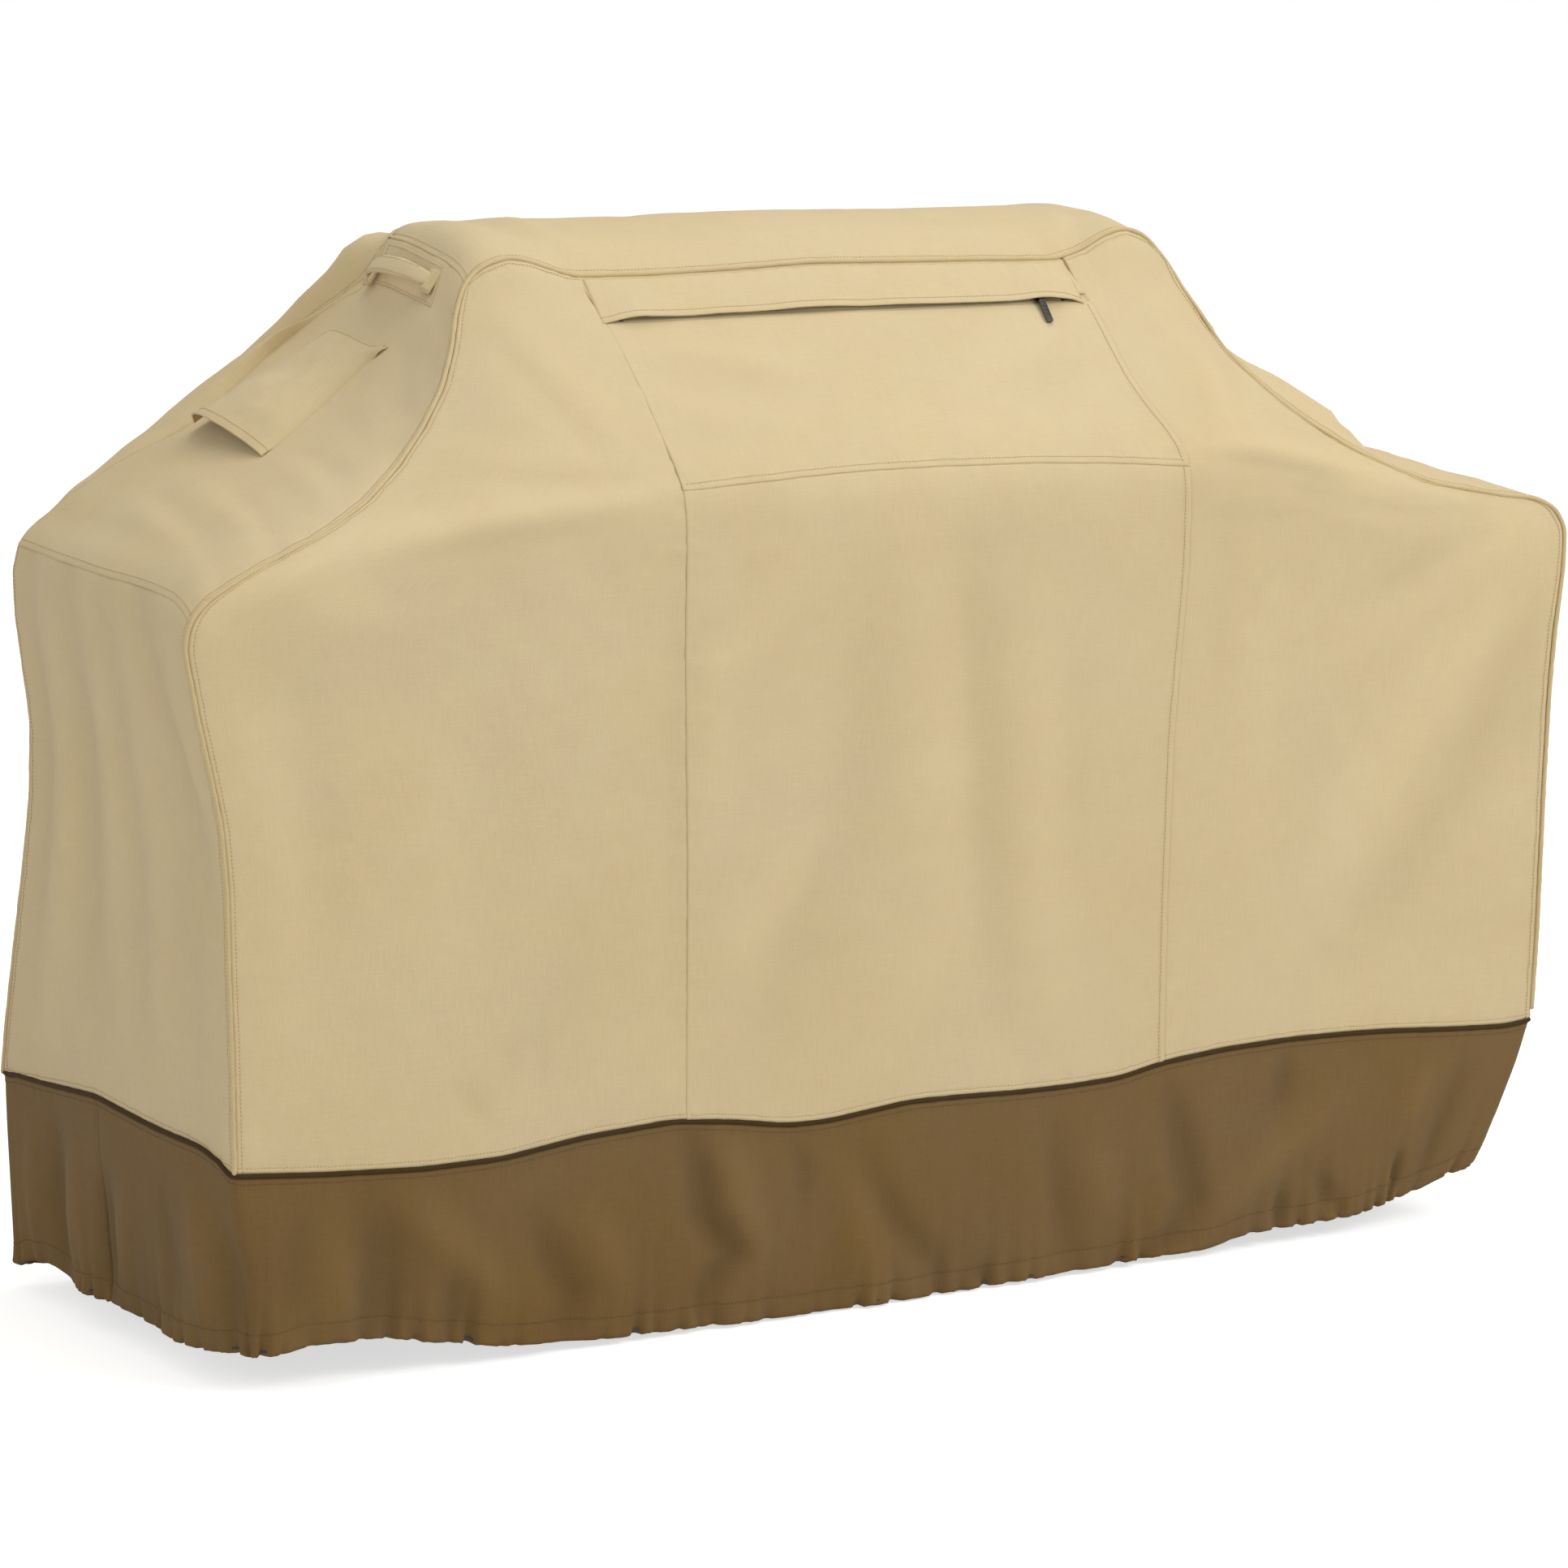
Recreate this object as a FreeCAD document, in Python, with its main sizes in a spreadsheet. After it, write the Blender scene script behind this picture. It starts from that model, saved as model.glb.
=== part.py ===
import FreeCAD, Part
import math
import os
import Sketcher

# Fitted outdoor cover for a cart grill with two side shelves.
# Sewn coated-polyester panels: a front and a back, each in pieces, joined by a gusset strip
# (end panels, slopes, top) with welt cord along both outlines, and a deep skirt whose folded
# hem carries an elastic draw cord with a spring cord lock.
# Frame: +X to the right seen from the front, -Y towards the front, +Z up.
# Origin: on the floor, under the middle of the whole length and depth. Millimetres.
# Pieces are drawn on a y datum of their own and moved together by frame_y at the end, which
# centres the whole depth from the skirt welt to the cord lock button.

Vec = FreeCAD.Vector
Placement = FreeCAD.Placement
Rotation = FreeCAD.Rotation
doc = FreeCAD.newDocument("grill_cover")

# ---------------------------------------------------------------- driving sizes
SIZES = [
    # cloth, seams and welts
    ("fabric_thk", 1.5), ("seam_gap", 5.2), ("welt_rad", 2.5), ("welt_inset", 2.4),
    ("bend_z", 954.0), ("seam_low_x", 322.0), ("seam_mid_x", 334.0), ("seam_top_x", 322.0),
    # skirt and hem
    ("half_skirt", 872.0), ("front_y", 298.0), ("back_y", 308.0), ("skirt_corner", 14.0),
    ("skirt_top", 249.0), ("skirt_clear", 3.0), ("skirt_seam_y", 42.0),
    ("hem_high", 26.0), ("hem_deep", 10.0),
    # elastic cord
    ("cord_rad", 2.0), ("cord_z", 9.0), ("cord_z_upper", 16.2), ("tail_y", 322.0),
    ("tail_end_x", -196.0), ("cord_inset", 5.0), ("exit_right_x", 26.0),
    ("exit_left_x", -20.0), ("exit_bend", 4.2),
    # zip
    ("zip_tilt", 46.637), ("zip_y", -128.3), ("zip_z", 1130.0), ("zip_half", 294.0),
    ("zip_open_v", 6.0), ("tape_thk", 0.8), ("tape_low_v", 18.0), ("tape_up_v", 11.8),
    ("tape_gap", 0.9), ("tape_n", -2.4), ("coil_in", 0.95), ("coil_wide", 2.1),
    ("coil_low", -1.5), ("coil_high", 2.4), ("stop_long", 4.0), ("stop_wide", 6.4),
    ("stop_high", 2.6), ("stop_round", 0.5),
    # zip slider and pull
    ("slider_x", 262.0), ("slider_long", 14.0), ("slider_wide", 10.5), ("plate_thk", 1.4),
    ("plate_top_n", 1.3), ("plate_low_n", -4.2), ("post_wide", 1.4), ("post_long", 3.0),
    ("bail_n", 5.8), ("bail_rad", 1.0), ("bail_long", 10.0), ("bail_leg", 1.8),
    ("eye_rad", 2.5), ("eye_hole", 1.08), ("eye_thk", 2.4), ("pull_long", 34.0),
    ("pull_wide", 8.0), ("pull_thk", 2.6), ("pull_lean", 4.0), ("rib_deep", 0.7),
    ("rib_pitch", 5.6), ("rib_open", 4.2),
    # zip flap and pocket bag
    ("flap_thk", 1.5), ("flap_half", 322.0), ("bag_half", 288.0),
    # cord lock, eyelets and end clip
    ("lock_x", -84.0), ("lock_rad", 10.0), ("lock_in_y", 309.6), ("lock_out_y", 332.0),
    ("lock_bore", 7.3), ("lock_floor", 2.0), ("plunger_rad", 7.0), ("plunger_in_y", 317.8),
    ("plunger_out_y", 337.0), ("plunger_travel", 3.5), ("spring_rad", 5.4),
    ("spring_wire", 0.4), ("spring_turns", 3.0), ("eyelet_rad", 6.0), ("eyelet_hole", 3.6),
    ("eyelet_lip", 0.8), ("clip_long", 16.0), ("clip_wide", 7.0), ("clip_high", 14.0),
    ("clip_round", 2.0),
    # vents and handles
    ("vent_lift", 34.0), ("vent_ply", 1.2), ("mesh_thk", 0.6), ("stay_rad", 1.6),
    ("patch_y_front", -31.0), ("patch_y_back", 138.0), ("patch_thk", 0.9),
    ("handle_mid_y", 58.0), ("handle_half", 74.0), ("handle_bow", 22.0),
    ("handle_wide", 24.0), ("handle_thk", 6.0), ("handle_off", 3.4), ("tab_long", 15.0),
    ("tab_thk", 1.8), ("pad_thk", 3.2), ("pad_wide", 19.0),
]
SKIRT_WELT_INSET = 0.75      # skirt welt centre, in from the skirt face

# Right half of the front outline (x, z), from the skirt seam up over shoulder and slope.
OUTLINE = [
    (870, 249), (872, 560), (896, 703), (910, 800), (912, 832), (904, 856), (883, 871),
    (817, 898), (760, 914), (697, 938), (639, 966), (590, 998), (547, 1036), (521, 1070),
    (502, 1107), (488, 1143), (472, 1170), (452, 1190), (430, 1205), (395, 1220), (330, 1250),
]
# Side profile (y, z): front wall and sloped front, crowned top, sloped back and back wall.
FRONT = [(-298, 249), (-298, 898), (-294, 938), (-282, 966), (-150, 1107), (-116, 1143),
         (-78, 1178)]
CROWN = [(-78, 1178), (-20, 1212), (50, 1229), (120, 1219), (185, 1180)]
BACK = [(185, 1180), (282, 998), (302, 950), (308, 898), (308, 249)]

# Extrusion spans (start, length) that reach past the cover.
WHOLE_WIDTH = ("-960", "1920")
ZIP_WIDTH = ("-400", "800")
FRONT_HALF = ("-330", "330")
VENT_DEPTH = ("20", "270")
ABOVE_TOP = 1240             # top of the front view regions
BELOW_PANELS = 240           # bottom of the side view trims

sheet = doc.addObject("Spreadsheet::Sheet", "Dims")
row_count = 0


def put(alias, value):
    """Write one named cell in the next row of the sheet."""
    global row_count
    row_count += 1
    sheet.set(f"A{row_count}", alias)
    sheet.set(f"B{row_count}", repr(round(float(value), 4)))
    sheet.setAlias(f"B{row_count}", alias)


def size(alias):
    return float(sheet.get(alias))


for alias, value in SIZES:
    put(alias, value)
sheet.recompute()

cloth = size("fabric_thk")
gap = size("seam_gap")


# ---------------------------------------------------------------- outline helpers
def offset_line(points, distance):
    """Open polyline moved sideways, to the left of its direction, with mitred corners."""
    legs = [(c - a, e - b) for (a, b), (c, e) in zip(points, points[1:])]
    moved = []
    for i, (a, b) in enumerate(points):
        normals = [(-v / math.hypot(u, v), u / math.hypot(u, v))
                   for u, v in legs[max(i - 1, 0):i + 1]]
        mean_a = sum(n[0] for n in normals) / len(normals)
        mean_b = sum(n[1] for n in normals) / len(normals)
        square = mean_a * mean_a + mean_b * mean_b
        moved.append((a + mean_a / square * distance, b + mean_b / square * distance))
    return moved


def band(line, near, far):
    """Closed outline between two offsets of a polyline."""
    return offset_line(line, near) + offset_line(line, far)[::-1]


def mirror_x(points):
    return [(-a, b) for a, b in points]


def at_height(points, z):
    """First coordinate of a polyline at height z."""
    for (a0, z0), (a1, z1) in zip(points, points[1:]):
        if min(z0, z1) - 1e-9 <= z <= max(z0, z1) + 1e-9 and abs(z1 - z0) > 1e-9:
            return a0 + (a1 - a0) * (z - z0) / (z1 - z0)
    return points[-1][0] if z > points[-1][1] else points[0][0]


def unit(start, end):
    length = math.hypot(end[0] - start[0], end[1] - start[1])
    return ((end[0] - start[0]) / length, (end[1] - start[1]) / length)


def step_from(point, direction, along, left):
    """Point reached by going along a unit direction and then to its left."""
    return (point[0] + direction[0] * along - direction[1] * left,
            point[1] + direction[1] * along + direction[0] * left)


# ---------------------------------------------------------------- document helpers
pieces = {}
AXES = {
    # sketch rotation and extrusion direction for each axis
    "x": (Rotation(Vec(0, 1, 0), Vec(0, 0, 1), Vec(1, 0, 0), "XYZ"), Vec(1, 0, 0)),
    "y": (Rotation(Vec(1, 0, 0), Vec(0, 0, 1), Vec(0, -1, 0), "XYZ"), Vec(0, 1, 0)),
}


def label(ob, name):
    """Give a finished piece its name and list it for export."""
    ob.Label = name
    pieces[name] = ob
    return ob


def outline_sketch(name, points, rotation, base):
    """Closed sketch of straight lines; every corner is pinned to two sheet cells."""
    for i, (a, b) in enumerate(points):
        put(f"{name}_{i:02d}a", a)
        put(f"{name}_{i:02d}b", b)
    sheet.recompute()
    sketch = doc.addObject("Sketcher::SketchObject", name + "_sketch")
    sketch.Placement = Placement(Vec(*base), rotation)
    count = len(points)
    corners = [Vec(a, b, 0) for a, b in points]
    sketch.addGeometry([Part.LineSegment(corners[i], corners[(i + 1) % count])
                        for i in range(count)], False)
    rules = [Sketcher.Constraint("Coincident", i, 2, (i + 1) % count, 1)
             for i in range(count)]
    for i, (a, b) in enumerate(points):
        rules.append(Sketcher.Constraint("DistanceX", -1, 1, i, 1, round(float(a), 4)))
        rules.append(Sketcher.Constraint("DistanceY", -1, 1, i, 1, round(float(b), 4)))
    sketch.addConstraint(rules)
    for i in range(count):
        sketch.setExpression(f"Constraints[{count + 2 * i}]", f"Dims.{name}_{i:02d}a")
        sketch.setExpression(f"Constraints[{count + 2 * i + 1}]", f"Dims.{name}_{i:02d}b")
    return sketch


def extrude(name, sketch, direction, length):
    ob = doc.addObject("Part::Extrusion", name)
    ob.Base = sketch
    ob.DirMode = "Custom"
    ob.Dir = direction
    ob.Solid = True
    ob.setExpression("LengthFwd", length)
    return ob


def prism(name, points, axis, start, length):
    """Outline in the plane across an axis, extruded from start by length (expressions)."""
    rotation, direction = AXES[axis]
    sketch = outline_sketch(name, points, rotation, (0, 0, 0))
    sketch.setExpression(".Placement.Base." + axis, start)
    return extrude(name, sketch, direction, length)


def primitive(kind, name, sizes, base, rotation):
    """Part primitive with its sizes and base point bound to expressions."""
    ob = doc.addObject("Part::" + kind, name)
    ob.Placement = Placement(Vec(0, 0, 0), rotation)
    for prop, expression in sizes.items():
        ob.setExpression(prop, expression)
    for axis, expression in zip("xyz", base):
        ob.setExpression(".Placement.Base." + axis, expression)
    return ob


def box(name, sizes, base, rotation=Rotation()):
    return primitive("Box", name, dict(zip(("Length", "Width", "Height"), sizes)), base,
                     rotation)


def cylinder(name, radius, height, base, axis="y"):
    rotation = {"x": Rotation(Vec(0, 1, 0), 90), "y": Rotation(Vec(1, 0, 0), -90)}[axis]
    return primitive("Cylinder", name, {"Radius": radius, "Height": height}, base, rotation)


def cut(name, base, tool):
    ob = doc.addObject("Part::Cut", name)
    ob.Base = base
    ob.Tool = tool
    return ob


def fuse(name, *parts):
    ob = doc.addObject("Part::MultiFuse", name)
    ob.Shapes = list(parts)
    ob.Refine = True
    return ob


def common(name, *parts):
    ob = doc.addObject("Part::MultiCommon", name)
    ob.Shapes = list(parts)
    ob.Refine = True
    return ob


def mirrored(source, name):
    ob = doc.addObject("Part::Mirroring", name + "_mirror")
    ob.Source = source
    ob.Base = Vec(0, 0, 0)
    ob.Normal = Vec(1, 0, 0)
    return label(ob, name)


def is_upright(edge):
    if len(edge.Vertexes) != 2:
        return False
    start, end = edge.Vertexes
    return abs(start.X - end.X) < 1e-6 and abs(start.Y - end.Y) < 1e-6


def is_circle(edge):
    return edge.Curve.TypeId == "Part::GeomCircle"


def fillet(ob, radius, chosen=lambda edge: True):
    """Round the chosen edges of an object; all of them by default."""
    doc.recompute()
    rounding = doc.addObject("Part::Fillet", ob.Name + "_round")
    rounding.Base = ob
    rounding.Edges = [(i, radius, radius) for i, edge in enumerate(ob.Shape.Edges, 1)
                      if chosen(edge)]
    return rounding


def feature(name, shape):
    """Swept shapes that no document feature makes; sizes are read from the sheet."""
    ob = doc.addObject("Part::Feature", name + "_swept")
    place = shape.Placement
    ob.Shape = shape
    ob.Placement = place
    return label(ob, name)


def round_profile(alias, centre, normal):
    return Part.Wire(Part.makeCircle(size(alias), centre, normal))


def start_profile(alias, edge):
    """Round profile across the start of an edge."""
    first = edge.FirstParameter
    return round_profile(alias, edge.valueAt(first), edge.tangentAt(first))


# ---------------------------------------------------------------- walls and view regions
low = size("skirt_top") + size("skirt_clear")          # lowest edge of the wall panels

# FRONT, CROWN and BACK have the outside on their left, OUTLINE the inside.
front_wall = prism("front_wall", FRONT + offset_line(FRONT, -cloth)[::-1], "x", *WHOLE_WIDTH)
crown_wall = prism("crown_wall", CROWN + offset_line(CROWN, -cloth)[::-1],
                   "x", "-600", "1200")
back_wall = prism("back_wall", BACK + offset_line(BACK, -cloth)[::-1], "x", *WHOLE_WIDTH)
gusset = prism("gusset", OUTLINE + offset_line(OUTLINE, cloth)[::-1], "y", "-320", "650")

# front view regions, kept one seam gap inside the outline
wing_edge = [p for p in offset_line(OUTLINE, gap) if p[1] < 1215]
bend = size("bend_z")
seam_low = (size("seam_low_x"), low)
seam_mid = (size("seam_mid_x"), bend)
seam_top = (size("seam_top_x"), ABOVE_TOP)
left_low, left_mid, left_top = mirror_x([seam_low, seam_mid, seam_top])
wing_region = prism("wing", [(wing_edge[0][0], low)] + wing_edge[1:]
                    + [(380, ABOVE_TOP), seam_top, seam_mid, seam_low], "y", "-330", "670")
low_region = prism("centre_low", [left_low, seam_low, seam_mid, left_mid],
                   "y", *FRONT_HALF)
high_region = prism("centre_high", [left_mid, seam_mid, seam_top, left_top],
                    "y", *FRONT_HALF)
rear_region = prism("centre_rear",
                    [left_low, seam_low, seam_mid, seam_top, left_top, left_mid],
                    "y", "0", "340")

# ---------------------------------------------------------------- front panels
tilt = math.radians(size("zip_tilt"))


def zip_point(up, out):
    """(y, z) of a point in the zip frame: up the cloth, and out of it."""
    return step_from((size("zip_y"), size("zip_z")), (math.cos(tilt), math.sin(tilt)),
                     up, out)


# the front wall stops one seam gap below its top edge, for the welt
front_dir = unit(FRONT[-2], FRONT[-1])
trim_out = step_from(FRONT[-1], front_dir, -gap, 40)
trim_in = step_from(FRONT[-1], front_dir, -gap, -60)
front_trim = prism("front_trim", [trim_out, trim_in, (-30, BELOW_PANELS),
                                  (-420, BELOW_PANELS), (-420, trim_out[1])],
                   "x", *WHOLE_WIDTH)
front_cut = common("front_cut", front_wall, front_trim)

right_front = label(common("right_front_shape", front_cut, wing_region),
                    "front_right_panel")
mirrored(right_front, "front_left_panel")
label(common("centre_lower_shape", front_wall, low_region), "front_centre_lower_panel")

open_v = size("zip_open_v")
under_zip = prism("under_zip", [zip_point(-open_v, 40), zip_point(-open_v, -40),
                                (-60, 940), (-330, 940), (-330, 1100)], "x", *ZIP_WIDTH)
over_zip = prism("over_zip", [zip_point(open_v, 40), zip_point(open_v, -40),
                              (40, 1100), (40, ABOVE_TOP), (-150, ABOVE_TOP)],
                 "x", *ZIP_WIDTH)
label(common("centre_upper_shape", front_cut, high_region, under_zip),
      "front_centre_upper_panel")
label(common("header_shape", front_cut, high_region, over_zip), "front_header_panel")

# ---------------------------------------------------------------- zip flap and pocket bag
# flap over the zip, sewn in just below the top welt, its free edge standing off the cloth
flap_root = step_from(FRONT[-1], front_dir, -(gap + 0.2), 0.25)
flap_line = [zip_point(4.5, 10.6), flap_root]
label(prism("flap", flap_line + offset_line(flap_line, size("flap_thk"))[::-1],
            "x", "-Dims.flap_half", "2*Dims.flap_half"), "pocket_flap")

# one folded cloth loop hanging inside from the two zip tapes: outer face, then inner (y, z)
BAG_OUTLINE = [
    zip_point(-18.5, -2.6), zip_point(-40, -4.4), (-262, 975), (-250, 968),
    zip_point(-40, -14.0), zip_point(11.5, -9.0), zip_point(11.5, -2.6),
    zip_point(10.3, -2.6), zip_point(10.3, -7.6), zip_point(-39.4, -12.6),
    (-251, 970.5), (-258.5, 975.3), zip_point(-39.6, -5.8), zip_point(-18.5, -3.9),
]
label(prism("bag", BAG_OUTLINE, "x", "-Dims.bag_half", "2*Dims.bag_half"), "pocket_bag")

# ---------------------------------------------------------------- gusset side view and top
# cut back at the front and back outlines for the welts, and under the crown
front_gap = offset_line(FRONT, -gap)
back_gap = offset_line(BACK, -gap)
crown_gap = offset_line(CROWN, -(cloth + 0.15))
side_outline = ([(front_gap[0][0], low)] + front_gap[1:-1]
                + [(front_gap[-1][0] + 0.5, front_gap[-1][1] - 0.5)] + crown_gap[1:-1]
                + [(back_gap[0][0] - 0.5, back_gap[0][1] - 0.5)] + back_gap[1:-1]
                + [(back_gap[-1][0], low)])
side_region = prism("side_view", side_outline, "x", "0", "960")

crown_view = prism("crown_view", OUTLINE + mirror_x(OUTLINE)[::-1], "y",
                   f"{CROWN[0][0]}+Dims.seam_gap",
                   f"{CROWN[-1][0] - CROWN[0][0]}-2*Dims.seam_gap")
label(common("top_shape", crown_wall, crown_view), "top_panel")

# ---------------------------------------------------------------- right end and slope
# the two meet at the outline's shoulder, x = 883
side_gusset = common("side_gusset", gusset, side_region)
end_block = fuse("end_block",
                 box("end_upper", ("80", "700", "700"), ("883", "-350", "200")),
                 box("end_lower", ("40", "700", "605"), ("850", "-350", "250")))
slope_block = box("slope_block", ("883", "700", "400"), ("0", "-350", "862"))

# hood footprint in side view: a parallelogram-like patch whose lower edge lies further back
HOOD_TOP_Z, HOOD_LOW_Z = 1110, 955
HOOD_FRONT_TOP, HOOD_FRONT_LOW = (38, HOOD_TOP_Z), (100, HOOD_LOW_Z)
HOOD_BACK_LOW, HOOD_BACK_TOP = (268, HOOD_LOW_Z), (214, HOOD_TOP_Z)
FRONT_LEAN, BACK_LEAN = 0.4, 0.348    # y per unit of drop along the slanted sides


def inside_hood(z_top, z_low, margin):
    """Hood footprint between two heights, moved in by margin on its slanted sides."""
    drop, rise = HOOD_TOP_Z - z_top, z_low - HOOD_LOW_Z
    return [(HOOD_FRONT_TOP[0] + drop * FRONT_LEAN + margin, z_top),
            (HOOD_FRONT_LOW[0] - rise * FRONT_LEAN + margin, z_low),
            (HOOD_BACK_LOW[0] - rise * BACK_LEAN - margin, z_low),
            (HOOD_BACK_TOP[0] + drop * BACK_LEAN - margin, z_top)]


window = prism("vent_window", inside_hood(1086, 992, 22), "x", "480", "150")
label(common("end_shape", side_gusset, end_block), "right_end_panel")
slope_strip = common("slope_strip", side_gusset, slope_block)
label(cut("slope_shape", slope_strip, window), "right_slope_panel")

# ---------------------------------------------------------------- right vent
# mesh screen sewn behind the window
vent_line = [p for p in OUTLINE if 500 <= p[0] <= 645]
mesh_band = prism("mesh", band(vent_line, cloth + 0.1, cloth + 0.1 + size("mesh_thk")),
                  "y", *VENT_DEPTH)
mesh_view = prism("mesh_view", inside_hood(1098, 975, 12), "x", "480", "200")
label(common("mesh_shape", mesh_band, mesh_view), "right_vent_mesh")

# hood: a sloped top ply and two side plies, open at its lower mouth
HOOD_REACH = ("480", "220")
hood_base = offset_line(vent_line, -0.2)
roof_low, roof_top = hood_base[0], hood_base[-1]
up_slope = unit(roof_low, roof_top)                # the outside is on its right
lip = step_from(roof_low, up_slope, 0, -size("vent_lift"))
halfway = (0.5 * (lip[0] + roof_top[0]), 0.5 * (lip[1] + roof_top[1]))
roof_line = [roof_top, step_from(halfway, up_slope, 0, -9), lip]
ply = size("vent_ply")
roof_inner = ([step_from(roof_top, up_slope, -2.0, -0.05)]
              + offset_line(roof_line, -ply)[1:])
roof = prism("hood_roof", roof_line + roof_inner[::-1], "y", *VENT_DEPTH)
hood_foot = prism("hood_foot",
                  [HOOD_FRONT_TOP, HOOD_FRONT_LOW, HOOD_BACK_LOW, HOOD_BACK_TOP],
                  "x", *HOOD_REACH)
hood_section = prism("hood_section", roof_line + hood_base[:-1], "y", *VENT_DEPTH)
front_strip = prism("hood_front_strip",
                    [HOOD_FRONT_TOP, HOOD_FRONT_LOW,
                     (HOOD_FRONT_LOW[0] + ply, HOOD_LOW_Z),
                     (HOOD_FRONT_TOP[0] + ply, HOOD_TOP_Z)], "x", *HOOD_REACH)
back_strip = prism("hood_back_strip",
                   [(HOOD_BACK_TOP[0] - ply, HOOD_TOP_Z),
                    (HOOD_BACK_LOW[0] - ply, HOOD_LOW_Z),
                    HOOD_BACK_LOW, HOOD_BACK_TOP], "x", *HOOD_REACH)
label(fuse("hood_shape", common("hood_roof_trim", roof, hood_foot),
           common("hood_cheek_front", hood_section, front_strip),
           common("hood_cheek_back", hood_section, back_strip)), "right_vent_hood")

# stay rod carried along the inside of the mouth lip
stay_x, stay_z = step_from(lip, up_slope, 4.0, size("stay_rad") + ply + 1.1)
stay_front = at_height([HOOD_FRONT_TOP, HOOD_FRONT_LOW], stay_z) + ply + 1.2
stay_back = at_height([HOOD_BACK_TOP, HOOD_BACK_LOW], stay_z) - ply - 1.2
put("stay_x", stay_x)
put("stay_z", stay_z)
put("stay_y", stay_front)
put("stay_long", stay_back - stay_front)
sheet.recompute()
label(cylinder("stay_rod", "Dims.stay_rad", "Dims.stay_long",
               ("Dims.stay_x", "Dims.stay_y", "Dims.stay_z")), "right_vent_stay")

# ---------------------------------------------------------------- right handle
# patch on the slope, sewn tabs, and a padded grip bowed off the slope between them
patch_line = [p for p in OUTLINE if 430 <= p[0] <= 502]
patch_band = prism("patch", band(patch_line, -0.1 - size("patch_thk"), -0.1),
                   "y", "Dims.patch_y_front", "Dims.patch_y_back-Dims.patch_y_front")
patch_block = box("patch_block", ("120", "400", "50"), ("400", "-100", "1150"))
label(common("patch_shape", patch_band, patch_block), "right_handle_patch")

# the handle is centred on one outline corner, square to the line between its neighbours
below_handle, handle_point, above_handle = OUTLINE[15:18]
down_x, down_z = unit(above_handle, below_handle)
# sketch plane: local x along +Y, local y out of the slope, normal down the slope
handle_rotation = Rotation(Vec(0, 1, 0), Vec(-down_z, 0, down_x), Vec(down_x, 0, down_z),
                           "XYZ")
handle_mid = size("handle_mid_y")
handle_half = size("handle_half")
handle_thk = size("handle_thk")
pad_thk = size("pad_thk")


def handle_piece(name, points, wide_alias):
    wide = size(wide_alias)
    base = (handle_point[0] - down_x * wide / 2, 0, handle_point[1] - down_z * wide / 2)
    sketch = outline_sketch(name, points, handle_rotation, base)
    return extrude(name, sketch, Vec(down_x, 0, down_z), "Dims." + wide_alias)


def bow_band(inner_off, outer_off, reach, steps=12):
    """Band along a cosine bow, over the fraction reach of its half length."""
    bow = size("handle_bow")
    outer, inner = [], []
    for i in range(steps + 1):
        place = -reach + 2 * reach * i / steps
        y = handle_mid + place * handle_half
        height = size("handle_off") + bow * 0.5 * (1 + math.cos(math.pi * place))
        slope = -bow * 0.5 * math.pi / handle_half * math.sin(math.pi * place)
        norm = math.hypot(1, slope)
        outer.append((y - slope / norm * outer_off, height + outer_off / norm))
        inner.append((y - slope / norm * inner_off, height + inner_off / norm))
    return outer + inner[::-1]


pad_low, pad_high = 0.5 * (handle_thk - pad_thk), 0.5 * (handle_thk + pad_thk)
PAD_PLAY = 0.2
grip = handle_piece("grip", bow_band(0.0, handle_thk, 0.74), "handle_wide")
grip_core = handle_piece("grip_core", bow_band(pad_low - PAD_PLAY, pad_high + PAD_PLAY, 0.66),
                         "pad_wide")
grip_fill = handle_piece("grip_fill", bow_band(pad_low, pad_high, 0.65), "pad_wide")
label(cut("grip_shape", grip, grip_core), "right_handle_grip")
label(grip_fill, "right_handle_pad")

TAB_OFF = 1.4                # tab underside, off the slope
TAB_OVERHANG = 6             # tab ends past the bow's half length
tab_long = size("tab_long")
tab_top = TAB_OFF + size("tab_thk")
tabs = []
for word, y in (("front", handle_mid - handle_half - TAB_OVERHANG),
                ("back", handle_mid + handle_half + TAB_OVERHANG - tab_long)):
    corners = [(y, TAB_OFF), (y + tab_long, TAB_OFF), (y + tab_long, tab_top), (y, tab_top)]
    tabs.append(handle_piece("tab_" + word, corners, "handle_wide"))
label(fuse("tabs_shape", *tabs), "right_handle_tabs")

# ---------------------------------------------------------------- left side
for word in ("end_panel", "slope_panel", "vent_mesh", "vent_hood", "vent_stay",
             "handle_patch", "handle_grip", "handle_pad", "handle_tabs"):
    mirrored(pieces["right_" + word], "left_" + word)

# ---------------------------------------------------------------- back in three panels
# the back wall starts one seam gap below its top edge, for the welt
back_dir = unit(BACK[0], BACK[1])
back_trim = prism("back_trim", [step_from(BACK[0], back_dir, gap, 80),
                                step_from(BACK[0], back_dir, gap, -40),
                                (60, BELOW_PANELS), (420, BELOW_PANELS), (420, 900)],
                  "x", *WHOLE_WIDTH)
back_cut = common("back_cut", back_wall, back_trim)
right_back = label(common("right_back_shape", back_cut, wing_region), "back_right_panel")
mirrored(right_back, "back_left_panel")
label(common("back_centre_shape", back_cut, rear_region), "back_centre_panel")

# ---------------------------------------------------------------- welts
welt_inset = size("welt_inset")
welt_outline = offset_line(OUTLINE, welt_inset)


def thinned(path, corner, spacing):
    """Path without points that crowd each other; the two top corners always stay."""
    kept = [path[0]]
    for point in path[1:-1]:
        is_corner = (abs(abs(point.x) - corner.x) < 1e-9
                     and abs(point.z - corner.z) < 1e-9)
        nearest = min(math.hypot(abs(point.x) - corner.x, point.z - corner.z),
                      point.distanceToPoint(kept[-1]))
        if is_corner or nearest > spacing:
            kept.append(point)
    kept.append(path[-1])
    return kept


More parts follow.
